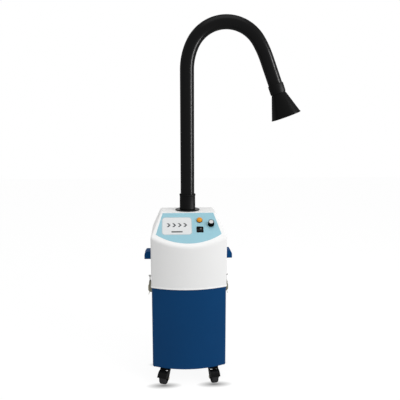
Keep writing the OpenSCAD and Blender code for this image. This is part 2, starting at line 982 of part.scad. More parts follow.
// Three-blade mains inlet let into the back of the head
module mains_socket() {
  face_w = socket_w + 22;
  face_h = socket_h + 12;
  face_t = 3;
  color([0.07, 0.07, 0.07])
    translate([socket_x, y_rear, socket_z])
      difference() {
        union() {
          translate([0, face_t / 2, 0])
            extrude_y(face_t)
              rounded(face_w, face_h, 4);
          translate([0, -socket_deep / 2, 0])
            extrude_y(socket_deep + 2)
              square([socket_w + 2 * socket_t, socket_h + 2 * socket_t], center = true);
        }
        translate([0, face_t - socket_deep / 2 + 1, 0])
          extrude_y(socket_deep + 2)
            polygon([
              [-socket_w / 2, -socket_h / 2], [socket_w / 2, -socket_h / 2],
              [socket_w / 2, socket_h / 2 - 5], [socket_w / 2 - 5, socket_h / 2],
              [-socket_w / 2 + 5, socket_h / 2], [-socket_w / 2, socket_h / 2 - 5]]);
        for (p = [[-blade_pitch, -2], [blade_pitch, -2], [0, 3]])
          translate([p[0], -socket_deep, p[1]])
            cube([2 + 2 * nest_gap, socket_deep + 2, 4 + 2 * nest_gap], center = true);
      }
}

module socket_blades() {
  color("gold")
    translate([socket_x, y_rear, socket_z])
      for (p = [[-blade_pitch, -2], [blade_pitch, -2], [0, 3]])
        translate([p[0], -socket_deep / 2 - 3, p[1]])
          cube([2, socket_deep + 8, 4], center = true);
}

// Exhaust grille on the back: a frame with slats that throw the clean air down
module exhaust_grille() {
  open_w = grille_w - 2 * grille_rim;
  open_h = grille_h - 2 * grille_rim;
  pitch = open_h / slats;
  color("whitesmoke")
    translate([outlet_x, y_rear + grille_t / 2, grille_z]) {
      extrude_y(grille_t)
        difference() {
          rounded(grille_w, grille_h, 5);
          square([open_w, open_h], center = true);
        }
      intersection() {
        for (i = [0 : slats - 1])
          translate([0, 0, (i - (slats - 1) / 2) * pitch])
            rotate([-slat_tilt, 0, 0])
              cube([open_w + 2, 2 * grille_t, 1.6], center = true);
        cube([open_w + 2, grille_t, open_h + 2], center = true);
      }
    }
}

// Cup handle: a hood with a chamfered brow, open below for the fingers
module handle(s) {
  brow_out = 7;
  brow_h = 12;
  deep = 2 * handle_wall;
  color(bin_blue)
    on_side(s)
      translate([half_w, 0, z_seam + handle_up])
        difference() {
          extrude_y(handle_l)
            polygon([
              [0, 0], [handle_out, 0], [handle_out, handle_h - brow_h],
              [handle_out - brow_out, handle_h], [0, handle_h]]);
          extrude_y(handle_l - 2 * handle_wall)
            polygon([
              [handle_wall, -1], [handle_out - handle_wall, -1],
              [handle_out - handle_wall, handle_h - brow_h - 1],
              [handle_out - brow_out - handle_wall, handle_h - deep],
              [handle_wall, handle_h - deep]]);
        }
}

// Place on the bin's side below the seam, seen from the bin's face outwards and downwards
module at_latch(s) {
  on_side(s)
    translate([half_w - bin_inset, latch_y, z_seam - latch_drop])
      mirror([0, 0, 1])
        children();
}

// Latch plate on the bin: cheeks that guard the bail, two ears and the pin that the lever turns on
module latch_base(s) {
  ear_r = web_out - latch_t - move_gap;
  foot = 8;
  guard_x = bin_inset + lip_out + 1;
  out = pivot[0] + 1;
  color(dark_steel)
    at_latch(s) {
      translate([0, -latch_w / 2, foot])
        cube([latch_t, latch_w, 36]);
      for (side = [-1, 1]) {
        translate([0, side * (cheek_y + latch_t / 2), 0])
          extrude_y(latch_t)
            polygon([
              [latch_t / 2, foot + 1], [guard_x, foot - 3], [guard_x, -6], [out - 4.5, -9],
              [out, -4], [out, 32], [out - 3, 36], [latch_t / 2, 38]]);
        translate([0, side * (ear_y + latch_t / 2), 0])
          extrude_y(latch_t) {
            translate([0, pivot[1] - ear_r])
              square([pivot[0], 2 * ear_r]);
            translate(pivot)
              circle(ear_r);
          }
      }
      translate([pivot[0], 0, pivot[1]])
        rotate([90, 0, 0])
          cylinder(d = latch_pin_d, h = 2 * lever_half, center = true);
    }
}

// Lever: two cheeks on the pin, a web across them and a tab flared for the finger
module latch_lever(s) {
  web = pivot[0] + web_out;
  top = 30;
  tab = [[web, pivot[1]], [web, top], [wire_x + 3, 37], [wire_x + 7, 49], [wire_x + 5.6, 49.5],
    [wire_x + 1.2, 37], [web - latch_t, top - 0.6], [web - latch_t, pivot[1]]];
  color(steel)
    at_latch(s) {
      extrude_y(2 * lever_half)
        polygon(tab);
      difference() {
        for (side = [-1, 1])
          translate([0, side * (lever_half - latch_t / 2), 0])
            extrude_y(latch_t) {
              translate(pivot)
                circle(4.5);
              polygon([[pivot[0] - 4.5, pivot[1]], [web - 0.1, pivot[1]], [web - 0.1, top],
                [bail_pivot[0] - 3, top], [bail_pivot[0] - 3, bail_pivot[1] - 3]]);
            }
        translate([pivot[0], 0, pivot[1]])
          rotate([90, 0, 0])
            cylinder(r = latch_pin_d / 2 + fit_gap, h = 3 * lever_half, center = true);
        translate([bail_pivot[0], 0, bail_pivot[1]])
          rotate([90, 0, 0])
            cylinder(r = bail_d / 2 + fit_gap, h = 3 * lever_half, center = true);
      }
    }
}

// Wire bail: two legs outside the lever, turned-in ends in its cheeks and a bar under the hook
module latch_bail(s) {
  r = bail_d / 2;
  cheek = lever_half - latch_t;
  color(dark_steel)
    at_latch(s) {
      for (side = [-1, 1]) {
        translate([bail_pivot[0], side * bail_y, bar_w])
          cylinder(r = r, h = bail_pivot[1] - bar_w);
        for (z = [bar_w, bail_pivot[1]])
          translate([bail_pivot[0], side * bail_y, z])
            sphere(r);
        translate([bail_pivot[0], side * (bail_y + cheek) / 2, bail_pivot[1]])
          rotate([90, 0, 0])
            cylinder(r = r, h = bail_y - cheek, center = true);
      }
      translate([bail_pivot[0], 0, bar_w])
        rotate([90, 0, 0])
          cylinder(r = r, h = 2 * bail_y, center = true);
    }
}

// Keeper on the head: a plate whose tongue curls over the bail's bar
module latch_keeper(s) {
  under = bar_w + bail_d / 2 + hook_gap;
  roof = under + latch_t;
  face = bin_inset + latch_t;
  color(dark_steel)
    at_latch(s) {
      translate([bin_inset, -10, roof - 22])
        cube([latch_t, 20, 22]);
      extrude_y(8)
        polygon([
          [face - 0.1, roof], [hook_out + latch_t - 1.5, roof], [hook_out + latch_t, roof - 1.5],
          [hook_out + latch_t, under - 4], [hook_out, under - 4], [hook_out, under],
          [face - 0.1, under]]);
    }
}

// Inside of the scroll: four quarter circles, each wider than the last, round stepped centres
module scroll_outline(grow) {
  e = scroll_step;
  centres = [[0, 0], [0, -e], [e, -e], [e, 0]];
  for (k = [0 : 3])
    translate(centres[k])
      intersection() {
        circle(scroll_r + k * e + grow, $fn = 128);
        rotate(90 * k)
          square(2 * scroll_r + 4 * e);
      }
  translate([-1, -e - 1])
    square([e + 2, e + 2]);
}

// Blower scroll on its inlet collar, with a tangential outlet through the back of the head
module blower_scroll() {
  color("lightslategray")
    translate([0, blower_y, z_scroll])
      difference() {
        union() {
          linear_extrude(scroll_h + scroll_t)
            union() {
              scroll_outline(scroll_t);
              translate([outlet_x - outlet_w / 2 - scroll_t, 0])
                square([outlet_w + 2 * scroll_t, outlet_l]);
            }
          translate([0, 0, -scroll_lift])
            cylinder(r = eye_r + scroll_t, h = scroll_lift + 1);
        }
        translate([0, 0, scroll_t])
          linear_extrude(scroll_h + 1)
            union() {
              scroll_outline(0);
              translate([outlet_x - outlet_w / 2, 0])
                square([outlet_w, outlet_l + 1]);
            }
        translate([0, 0, -scroll_lift - 1])
          cylinder(r = eye_r, h = scroll_lift + scroll_t + 2);
      }
}

module scroll_lid() {
  color("lightslategray")
    translate([0, blower_y, z_lid])
      linear_extrude(scroll_t)
        difference() {
          union() {
            scroll_outline(scroll_t);
            translate([outlet_x - outlet_w / 2 - scroll_t, 0])
              square([outlet_w + 2 * scroll_t, outlet_l]);
          }
          circle(shaft_d / 2 + 2);
        }
}

// Backward-curved impeller: a back plate and hub, blades, and a shroud ring at the eye
module impeller() {
  plate = 2;
  hub_r = shaft_d / 2 + 6;
  blade_t = 1.2;
  blade_r = 0.62 * impeller_r;
  inner = eye_r - 2;
  color("gray")
    translate([0, blower_y, z_impeller])
      difference() {
        union() {
          translate([0, 0, impeller_h - plate])
            cylinder(r = impeller_r, h = plate);
          translate([0, 0, impeller_h - 20])
            cylinder(r = hub_r, h = 20);
          tube(impeller_r, eye_r, plate);
          linear_extrude(impeller_h - 1)
            intersection() {
              difference() {
                circle(impeller_r - 0.5);
                circle(inner);
              }
              for (k = [0 : blades - 1])
                rotate(k * 360 / blades)
                  translate([0.72 * impeller_r, 0.52 * impeller_r])
                    difference() {
                      circle(blade_r + blade_t);
                      circle(blade_r);
                      translate([0, blade_r])
                        square(4 * blade_r, center = true);
                    }
            }
        }
        translate([0, 0, -1])
          cylinder(r = shaft_d / 2 + fit_gap, h = impeller_h + 2);
      }
}

module motor() {
  cap_h = 10;
  color("darkgray")
    translate([0, blower_y, z_motor])
      difference() {
        union() {
          cylinder(d = motor_d, h = motor_h);
          cylinder(d = motor_d + 14, h = 4);
          translate([0, 0, motor_h - 1])
            cylinder(d = motor_d - 24, h = cap_h + 1);
        }
        translate([0, 0, -1])
          cylinder(r = shaft_d / 2 + fit_gap, h = motor_h + 1);
      }
}

module motor_shaft() {
  color(steel)
    translate([0, blower_y, z_impeller + impeller_h - 20])
      cylinder(d = shaft_d, h = z_motor + motor_h - z_impeller - impeller_h + 20 - 1);
}

// Flange on the head with a spigot up into the cuff and another down into the duct
module hose_flange() {
  color(rubber_black)
    translate([0, hose_y, 0])
      difference() {
        union() {
          translate([0, 0, z_top])
            cylinder(d = flange_d, h = flange_t);
          translate([0, 0, z_top])
            cylinder(r = hose_r - nest_gap, h = flange_t + spigot_h);
          translate([0, 0, z_top - head_wall - 12])
            cylinder(r = hose_bore / 2 + 3 - nest_gap, h = head_wall + 13);
        }
        translate([0, 0, z_top - head_wall - 13])
          cylinder(d = hose_bore, h = head_wall + flange_t + spigot_h + 14);
      }
}

// Rubber cuff that turns on the flange's spigot and grips the foot of the hose
module hose_cuff() {
  bead = 1;
  color(rubber_black)
    translate([0, hose_y, z_flange + move_gap])
      difference() {
        union() {
          cylinder(r = cuff_r, h = cuff_h);
          translate([0, 0, cuff_h - 6])
            cylinder(r = cuff_r + bead, h = 5);
        }
        translate([0, 0, -1])
          cylinder(r = hose_r - nest_gap + fit_gap, h = spigot_h + 1);
        translate([0, 0, spigot_h - 1])
          cylinder(r = hose_r + move_gap, h = cuff_h);
      }
}

// A tube along the arm's line: riser, three bends and the leg down to the hood.
// The wide bends are a hair thinner than their neighbours, so that the end faces join cleanly
module arm_tube(outer_r, inner_r, z0, tail) {
  translate([0, hose_y, z0])
    tube(outer_r, inner_r, z_bend - z0);
  for (b = [[bend1_c, bend1_r, turn1, bend1_a, joint_step],
      [bend2_c, bend2_r, turn2, bend2_a, 0],
      [bend3_c, bend3_r, turn3, bend3_a, joint_step]])
    translate([b[0][0], hose_y, b[0][1]])
      rotate([90, 0, 0])
        rotate([0, 0, b[2]])
          rotate_extrude(angle = b[3])
            translate([b[1], 0])
              difference() {
                circle(outer_r - b[4]);
                circle(inner_r + b[4]);
              }
  translate([bend3_end[0], hose_y, bend3_end[1]])
    rotate([0, 180 - turn3, 0])
      tube(outer_r, inner_r, leg_h + tail);
}

module hose() {
  color(rubber_black)
    arm_tube(hose_r, hose_bore / 2, z_hose, hose_in_cuff);
}

// Flexible metal tube inside the hose, which lets the arm keep the shape it is bent to
module gooseneck_core() {
  core_r = hose_bore / 2 - nest_gap;
  color(steel)
    arm_tube(core_r, core_r - 1, z_hose, hose_in_cuff);
}

// Local +Z runs down the hood's axis from the top of its cuff
module at_hood() {
  translate([cuff_at[0], hose_y, cuff_at[1]])
    rotate([0, 180 - turn3, 0])
      children();
}

module hood_cuff() {
  wall = cuff_wall - 1.5;
  color(rubber_black)
    at_hood()
      tube(hose_r + move_gap + wall, hose_r + move_gap, hood_cuff_h);
}

// Conical hood with a neck inside the cuff and a rolled rim at its mouth
module hood() {
  neck_r = hose_r + move_gap - nest_gap;
  neck0 = hose_in_cuff + 2 * move_gap;
  mouth_r = hood_d / 2;
  rim_r = 2;
  end = hood_cuff_h + hood_h;
  color(rubber_black)
    at_hood()
      rotate_extrude()
        union() {
          polygon([
            [neck_r - hood_wall, neck0], [neck_r, neck0], [neck_r, hood_cuff_h + 2],
            [mouth_r - rim_r, end - rim_r], [mouth_r - rim_r - hood_wall, end - rim_r],
            [neck_r - hood_wall, hood_cuff_h + 2]]);
          translate([mouth_r - rim_r, end - rim_r])
            circle(rim_r);
        }
}

bin_shell();
bin_gasket();
tray_brackets();
filter_tray();
pre_filter();
hepa_frame();
hepa_pleats();
carbon_cassette();
carbon_bed();
inlet_duct();
caster_stems();
caster_nuts();
caster_fork(0);  // caster_fork_fl
caster_fork(1);  // caster_fork_fr
caster_fork(2);  // caster_fork_rl
caster_fork(3);  // caster_fork_rr
caster_axle(0);  // caster_axle_fl
caster_axle(1);  // caster_axle_fr
caster_axle(2);  // caster_axle_rl
caster_axle(3);  // caster_axle_rr
caster_wheel(0);  // caster_wheel_fl
caster_wheel(1);  // caster_wheel_fr
caster_wheel(2);  // caster_wheel_rl
caster_wheel(3);  // caster_wheel_rr
head_shell();
head_base();
panel_overlay();
lamp_body();
lamp_lens();
speed_pot();
pot_shaft();
speed_knob();
knob_cap();
rocker_frame();
rocker();
control_board();
mains_socket();
socket_blades();
exhaust_grille();
handle(-1);  // handle_left
handle(1);  // handle_right
latch_base(-1);  // latch_base_left
latch_base(1);  // latch_base_right
latch_lever(-1);  // latch_lever_left
latch_lever(1);  // latch_lever_right
latch_bail(-1);  // latch_bail_left
latch_bail(1);  // latch_bail_right
latch_keeper(-1);  // latch_keeper_left
latch_keeper(1);  // latch_keeper_right
blower_scroll();
scroll_lid();
impeller();
motor();
motor_shaft();
hose_flange();
hose_cuff();
hose();
gooseneck_core();
hood_cuff();
hood();
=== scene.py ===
import json
import math

import bmesh
import bpy
import numpy as np
from bpy.props import FloatProperty, FloatVectorProperty, IntProperty, PointerProperty
from mathutils import Euler, Matrix, Vector


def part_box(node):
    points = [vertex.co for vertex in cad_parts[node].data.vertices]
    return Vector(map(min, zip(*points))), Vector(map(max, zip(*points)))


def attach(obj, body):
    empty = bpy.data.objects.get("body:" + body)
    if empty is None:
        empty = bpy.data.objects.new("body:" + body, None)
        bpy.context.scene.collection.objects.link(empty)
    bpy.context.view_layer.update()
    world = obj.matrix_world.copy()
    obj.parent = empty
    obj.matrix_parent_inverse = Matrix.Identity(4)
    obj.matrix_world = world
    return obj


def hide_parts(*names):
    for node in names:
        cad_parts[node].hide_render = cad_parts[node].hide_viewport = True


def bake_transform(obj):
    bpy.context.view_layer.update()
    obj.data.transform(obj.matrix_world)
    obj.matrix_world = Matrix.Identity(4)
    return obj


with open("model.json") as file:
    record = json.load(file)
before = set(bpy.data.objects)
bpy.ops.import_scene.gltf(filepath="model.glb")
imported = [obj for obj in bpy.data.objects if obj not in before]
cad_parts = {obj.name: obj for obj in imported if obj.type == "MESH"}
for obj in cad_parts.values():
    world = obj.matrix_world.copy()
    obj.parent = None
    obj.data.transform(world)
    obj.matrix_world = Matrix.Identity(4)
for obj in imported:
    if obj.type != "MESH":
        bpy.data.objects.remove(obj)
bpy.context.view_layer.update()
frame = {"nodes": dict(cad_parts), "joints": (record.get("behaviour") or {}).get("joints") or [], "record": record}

bl_info = {
    "name": "Fume extractor",
    "version": (1, 0, 0),
    "blender": (4, 5, 0),
    "location": "3D View > Sidebar > Extractor",
    "description": "Builds the visual model of a wheeled solder fume extractor on its CAD frame",
    "category": "Object",
}

SLOT = {part["node"]: part["material_slot"] for part in frame["record"]["subparts"]}
JOINT = {joint["name"]: joint for joint in frame["joints"]}
CORNERS = ("fl", "fr", "rl", "rr")
SIDES = (("left", -1), ("right", 1))
FULL_TURN = 2 * math.pi

# Vertices closer than the first are one, and a face smaller than the second is none
MERGE = 1e-6
TINY_AREA = 1e-14

# Spots on the control panel: sideways from its middle and down its slope
LAMP_SPOT = (0.045, 0.043)
KNOB_SPOT = (0.090, 0.064)
SWITCH_SPOT = (0.045, 0.089)

# Nodes whose finish is not that of their slot
OWN_FINISH = {
    "rocker": "rocker_black",
    # The keeper and bail take a much darker copy of the latch steel: painted shade on the same plated steel
    **{f"latch_{piece}_{side}": "latch_steel_painted_shade" for piece in ("keeper", "bail") for side, _ in SIDES},
}


def low(node):
    """Lowest corner of a CAD node."""
    return Vector(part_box(node)[0])


def high(node):
    """Highest corner of a CAD node."""
    return Vector(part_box(node)[1])


def middle(node):
    """Middle of a CAD node's box."""
    return (low(node) + high(node)) / 2


def length(name, description, default):
    """A size in metres that a user may change."""
    return FloatProperty(name=name, description=description, default=default, min=0.0, unit="LENGTH")


def colour(name, description, default):
    """A linear colour that a user may change."""
    return FloatVectorProperty(
        name=name, description=description, default=default, subtype="COLOR", size=3, min=0.0, max=1.0
    )


def power(name, description, default):
    """A lamp's power in watts that a user may change."""
    return FloatProperty(name=name, description=description, default=default, min=0.0, unit="POWER")


class ExtractorSizes(bpy.types.PropertyGroup):
    """Sizes of the pieces that replace plain CAD nodes."""

    half_width: length("Half width", "Half the width of the head", 0.150)
    rear: length("Rear", "Flat back of the head behind the middle", 0.127)
    bow: length("Bow", "How far the front bows out beyond its corners", 0.037)
    corner: length("Corner radius", "Radius of the upright corners", 0.010)
    seam: length("Seam", "Height of the seam between bin and head", low("head_shell").z)
    top: length("Top", "Height of the flat top", high("head_shell").z)
    top_depth: length("Top depth", "Depth of the flat top behind the panel", 0.124)
    top_half: length("Top half width", "Half width of the flat top", 0.113)
    drop: length("Shoulder drop", "Drop from the top to the shoulders", 0.082)
    wall: length("Head wall", "Wall of the moulded head", 0.003)
    soft_edge: length("Soft edge", "How far the head's moulded edges are rolled off", 0.0045)
    nose_edge: length("Nose edge", "How far the edge between panel and front is rolled off", 0.005)
    head_cuts: IntProperty(
        name="Head grid", description="Cuts along each edge of the head's block", default=75, min=8
    )
    lip: length("Lip", "Height of the lip at the head's foot", 0.006)
    bin_inset: length("Bin inset", "How far the bin stands in from the head", 0.002)
    bin_wall: length("Bin wall", "Sheet thickness of the bin", 0.0015)
    hose_radius: length("Hose radius", "Outside radius of the bendable hose", 0.0285)
    hose_wall: length("Hose wall", "Wall of the hose", 0.003)
    wheel_radius: length("Wheel radius", "Radius of a caster wheel", 0.025)
    wheel_width: length("Wheel width", "Width of a caster wheel", 0.026)


class ExtractorColours(bpy.types.PropertyGroup):
    """Colours of the visible finishes."""

    head: colour("Head", "White moulded head", (0.86, 0.86, 0.855))
    steel_blue: colour("Bin", "Blue enamelled steel", (0.0024, 0.0465, 0.149))
    grip_blue: colour("Handles", "Blue moulded handles", (0.0036, 0.052, 0.168))
    rubber: colour("Rubber", "Black rubber and hose", (0.0042, 0.0042, 0.0044))
    film: colour("Film", "Light blue of the printed panel film", (0.295, 0.545, 0.635))
    film_pale: colour("Film field", "Pale field on the printed film", (0.71, 0.722, 0.727))
    amber: colour("Amber", "Pilot lamp lens", (0.80, 0.31, 0.008))
    bright: colour("Bright metal", "Zinc plated steel", (0.58, 0.57, 0.53))


class ExtractorStage(bpy.types.PropertyGroup):
    """Camera and light."""

    eye: FloatVectorProperty(
        name="Camera", description="Place of the camera", subtype="XYZ", size=3,
        default=(-0.0659, -1.9018, 1.0174),
    )
    aim: FloatVectorProperty(
        name="Camera turn", description="Turn of the camera", subtype="EULER", size=3,
        default=(math.radians(81.49), 0.0, math.radians(-3.45)),
    )
    lens: FloatProperty(name="Lens", description="Focal length for a sensor of 36 mm", default=42.73, min=1.0)
    room: FloatProperty(name="Room light", description="Strength of the even light", default=0.485, min=0.0)
    key: power("Key light", "Power of the lamp at the right", 31.0)
    fill: power("Top light", "Power of the lamp overhead", 20.0)
    strip: power("Strip light", "Power of the tall lamp that edges the hose", 95.0)
    floor_white: FloatProperty(
        name="Floor white", description="How much of the floor's own white the camera sees",
        default=0.88, min=0.0, max=1.0,
    )


class Extractor(bpy.types.PropertyGroup):
    """Everything the panel shows."""

    sizes: PointerProperty(type=ExtractorSizes)
    colours: PointerProperty(type=ExtractorColours)
    stage: PointerProperty(type=ExtractorStage)


# Finishes


class Wire:
    """A shader socket that takes part in ordinary arithmetic, one Math node for each step."""

    def __init__(self, finish, socket):
        self.finish = finish
        self.socket = socket

    def step(self, operation, *values):
        """Adds the Math node of one operation."""
        return self.finish.add("ShaderNodeMath", {"operation": operation}, dict(enumerate(values)))

    def __add__(self, other):
        return self.step("ADD", self, other)

    def __sub__(self, other):
        return self.step("SUBTRACT", self, other)

    def __rsub__(self, other):
        return self.step("SUBTRACT", other, self)

    def __mul__(self, other):
        return self.step("MULTIPLY", self, other)

    def __truediv__(self, other):
        return self.step("DIVIDE", self, other)

    def __rtruediv__(self, other):
        return self.step("DIVIDE", other, self)

    def __pow__(self, other):
        return self.step("POWER", self, other)

    def __lt__(self, other):
        return self.step("LESS_THAN", self, other)

    def __gt__(self, other):
        return self.step("GREATER_THAN", self, other)

    def __abs__(self):
        return self.step("ABSOLUTE", self)

    def __or__(self, other):
        return self.step("MAXIMUM", self, other)

    def __and__(self, other):
        return self.step("MINIMUM", self, other)

    __radd__ = __add__
    __rmul__ = __mul__


class Graph:
    """A shader tree whose nodes are all added by one method."""

    def __init__(self, tree):
        self.tree = tree

    def plug(self, socket, value):
        """Links a wire to a socket, or sets the socket to a value."""
        if isinstance(value, Wire):
            self.tree.links.new(value.socket, socket)
        elif isinstance(value, (tuple, list)) and socket.type == "RGBA":
            socket.default_value = (*value[:3], 1.0)
        else:
            socket.default_value = value

    def add(self, kind, settings=(), values=(), out=0):
        """Adds any node: its type, its settings and then the values or links of its sockets."""
        node = self.tree.nodes.new(kind)
        for key, value in dict(settings).items():
            if key == "stops":
                while len(node.color_ramp.elements) < len(value):
                    node.color_ramp.elements.new(0.5)
                for element, (at, tone) in zip(node.color_ramp.elements, value):
                    element.position = at
                    element.color = (tone, tone, tone, 1.0)
            else:
                setattr(node, key, value)
        for key, value in dict(values).items():
            self.plug(node.inputs[key], value)
        return Wire(self, node.outputs[out])

    def outputs(self, kind, names, values=()):
        """Adds a node with several outputs in use."""
        node = self.add(kind, values=values).socket.node
        return [Wire(self, node.outputs[name]) for name in names]

    def seen(self):
        """1 for what the eye, a mirror or a lens sees, 0 for what only lights the object."""
        eye, mirror, lens = self.outputs(
            "ShaderNodeLightPath", ("Is Camera Ray", "Is Glossy Ray", "Is Transmission Ray")
        )
        return eye | mirror | lens

    def end(self, surface):
        """Ends the tree in a surface."""
        last = next(node for node in self.tree.nodes if node.bl_idname.startswith("ShaderNodeOutput"))
        self.plug(last.inputs["Surface"], surface)


class Finish(Graph):
    """A material built round one Principled shader."""

    def __init__(self, name, **steady):
        self.material = bpy.data.materials.new(name)
        self.material.use_nodes = True
        super().__init__(self.material.node_tree)
        self.shader = self.tree.nodes["Principled BSDF"]
        self.place = self.add("ShaderNodeTexCoord", out="Object")
        for socket, value in steady.items():
            self.shader.inputs[socket.replace("_", " ")].default_value = value

    def feed(self, **links):
        """Links wires to the shader's sockets."""
        for socket, value in links.items():
            self.plug(self.shader.inputs[socket.replace("_", " ")], value)
        return self

    def axes(self):
        """The place on the object along X, Y and Z."""
        return self.outputs("ShaderNodeSeparateXYZ", "XYZ", {"Vector": self.place})

    def stretch(self, scale, turn=(0.0, 0.0, 0.0)):
        """The place on the object, scaled and turned."""
        return self.add("ShaderNodeMapping", values={"Vector": self.place, "Scale": scale, "Rotation": turn})

    def noise(self, scale, detail, where=None):
        """Soft noise round one half."""
        return self.add(
            "ShaderNodeTexNoise", values={"Vector": where or self.place, "Scale": scale, "Detail": detail}
        )

    def cells(self, scale):
        """Distance from the middle of scattered cells."""
        return self.add("ShaderNodeTexVoronoi", values={"Vector": self.place, "Scale": scale}, out="Distance")

    def ramp(self, value, *stops):
        """A tone that runs through a few stops."""
        return self.add("ShaderNodeValToRGB", {"stops": stops}, {"Fac": value})

    def mix(self, factor, first, second):
        """Mixes two colours."""
        return self.add("ShaderNodeMix", {"data_type": "RGBA"}, {0: factor, 6: first, 7: second}, out=2)

    def bump(self, height, distance):
        """A normal raised by a height."""
        return self.add("ShaderNodeBump", values={"Height": height, "Distance": distance}, out="Normal")


def shade(tone, factor):
    """A colour made darker or lighter by a factor."""
    return tuple(min(1.0, part * factor) for part in tone)


def moulded(name, tone, rough, grain=1400.0, mottle=0.08, mark=None, **steady):
    """Moulded plastic: a spark texture, uneven gloss, a faint drift of colour and perhaps a grey mark."""
    made = Finish(name, **steady)
    grey = (0.16, 0.16, 0.16)
    drift = made.noise(9.0, 2.0)
    spark = made.noise(grain, 2.0)
    scuff = made.noise(55.0, 6.0)
    base = made.mix(drift, shade(tone, 1 - mottle), shade(tone, 1 + mottle / 2))
    return made.feed(
        Base_Color=made.mix(mark(made), base, grey) if mark else base,
        Roughness=(scuff - 0.5) * 0.16 + rough,
        Normal=made.bump(spark, 0.00004),
    )


def moulded_black(name, tone, rough, coat, blur, **more):
    """Black moulded plastic whose only gloss is a thin coat, so that it stays dark at its edges."""
    return moulded(name, tone, rough, Specular_IOR_Level=0.0, Coat_Weight=coat, Coat_Roughness=blur, **more)


# Drawing marks on metal, fine across one axis
ACROSS_X = (1400.0, 40.0, 40.0)
ACROSS_Y = (40.0, 1400.0, 40.0)
ACROSS_Z = (40.0, 40.0, 1400.0)


def plated(name, tone, rough, grain=ACROSS_Y):
    """Plated or drawn metal with fine drawing marks and dulled patches."""
    made = Finish(name, Metallic=1.0)
    marks = made.noise(1.0, 4.0, made.stretch(grain))
    dull = made.noise(60.0, 4.0)
    return made.feed(
        Base_Color=made.mix(dull, shade(tone, 0.78), shade(tone, 1.08)),
        Roughness=(marks - 0.5) * 0.22 + (dull - 0.5) * 0.15 + rough,
        Normal=made.bump(marks, 0.00002),
    )


def enamelled(name, tone):
    """Powder coat on sheet steel: orange peel, an even half gloss and a faint drift of colour."""
    made = Finish(name, Specular_IOR_Level=0.06, Coat_Weight=0.015, Coat_Roughness=0.2)
    peel = made.noise(620.0, 1.0)
    drift = made.noise(6.0, 2.0)
    rub = made.noise(35.0, 6.0)
    return made.feed(
        Base_Color=made.mix(drift, shade(tone, 0.9), shade(tone, 1.08)),
        Roughness=(rub - 0.5) * 0.14 + 0.42,
        Normal=made.bump(peel, 0.00006),
    )


def cover_white(name, tone):
    """White of the head: spark texture, a faint drift of colour and scuffs in the gloss."""
    made = Finish(name, Coat_Weight=0.08, Coat_Roughness=0.3)
    drift = made.noise(5.0, 2.0)
    spark = made.noise(1500.0, 2.0)
    scuff = made.noise(40.0, 6.0)
    return made.feed(
        Base_Color=made.mix(drift, shade(tone, 0.975), shade(tone, 1.015)),
        Roughness=(scuff - 0.5) * 0.12 + 0.44,
        Normal=made.bump(spark, 0.000015),
    )


def smooth_sheath(name, tone):
    """Smooth black hose sheath: a fine skin, and dust that dulls it in patches."""
    made = Finish(name, Specular_IOR_Level=0.0, Coat_Roughness=0.26)
    dust = made.noise(14.0, 5.0)
    skin = made.noise(700.0, 2.0)
    return made.feed(
        Base_Color=made.mix(dust, shade(tone, 0.8), shade(tone, 1.5)),
        Coat_Weight=(0.5 - dust) * 0.05 + 0.13,
        Normal=made.bump(skin, 0.00003),
    )


def soft_rubber(name, tone):
    """Moulded rubber: a fine cellular skin, and a pale bloom that dulls it in patches."""
    made = Finish(name, Specular_IOR_Level=0.0, Coat_Roughness=0.5)
    bloom = made.noise(90.0, 6.0)
    skin = made.cells(900.0)
    return made.feed(
        Base_Color=made.mix(bloom, shade(tone, 0.7), shade(tone, 1.5)),
        Coat_Weight=(0.5 - bloom) * 0.08 + 0.12,
        Normal=made.bump(skin, 0.00004),
    )


def printed_film(name, blue, pale, sizes):
    """Printed film on the panel: a pale field with a row of flow arrows, a bar and a dial for the knob."""
    made = Finish(name, Specular_IOR_Level=0.2, Coat_Weight=0.05, Coat_Roughness=0.25)
    x, y, _ = made.axes()
    down = (panel_top(sizes) - y) / math.cos(panel_slope(sizes))
    dark_blue = (0.05, 0.09, 0.14)
    ink = (0.035, 0.04, 0.045)
    field_x, field_down, arrow_down, bar_down = -0.046, 0.070, 0.066, 0.099
    arrow_pitch, arrow_start, arrow_slant, arrow_share = 0.022, 0.0093, 0.9, 0.36
    dial_inner, dial_outer = 0.0155, 0.0185
    dial_end, tick_step, tick_half = math.radians(142), math.radians(14), math.radians(2.6)

    def field(cx, cd, half_x, half_d, radius):
        """1 inside a rounded box on the film, 0 outside."""
        dx = (abs(x - cx) - (half_x - radius)) | 0.0
        dd = (abs(down - cd) - (half_d - radius)) | 0.0
        return (dx * dx + dd * dd) ** 0.5 < radius

    pale_field = field(field_x, field_down, 0.060, 0.044, 0.014)
    inner_field = field(field_x, field_down, 0.0575, 0.0415, 0.012)
    rim = pale_field - inner_field
    knob_x, knob_down = KNOB_SPOT
    dx = x - knob_x
    dd = knob_down - down
    out = (dx * dx + dd * dd) ** 0.5
    angle = dx.step("ARCTAN2", dx, dd)
    tick = angle.step("PINGPONG", angle, tick_step)
    ring = (out > dial_inner) & (out < dial_outer) & (abs(angle) < dial_end)
    dial = ring & (tick < tick_half)
    speck = made.noise(2600.0, 2.0)
    tint = made.mix(made.noise(12.0, 2.0), shade(blue, 0.94), shade(blue, 1.05))
    paint = made.mix(pale_field, tint, pale)
    paint = made.mix(rim * 0.55, paint, shade(blue, 0.62))
    paint = made.mix(dial * 0.9, paint, dark_blue)
    lean = (x - arrow_start + abs(down - arrow_down) * arrow_slant) / arrow_pitch
    arrow = lean.step("FRACT", lean) < arrow_share
    row = field(field_x, arrow_down, 0.0415, 0.0095, 0.0005)
    bar = field(field_x, bar_down, 0.022, 0.0034, 0.0010)
    paint = made.mix(((arrow & row) | bar) * 0.92, paint, ink)
    return made.feed(
        Base_Color=paint,
        Roughness=(speck - 0.5) * 0.1 + 0.36,
        Normal=made.bump(speck, 0.00002),
    )


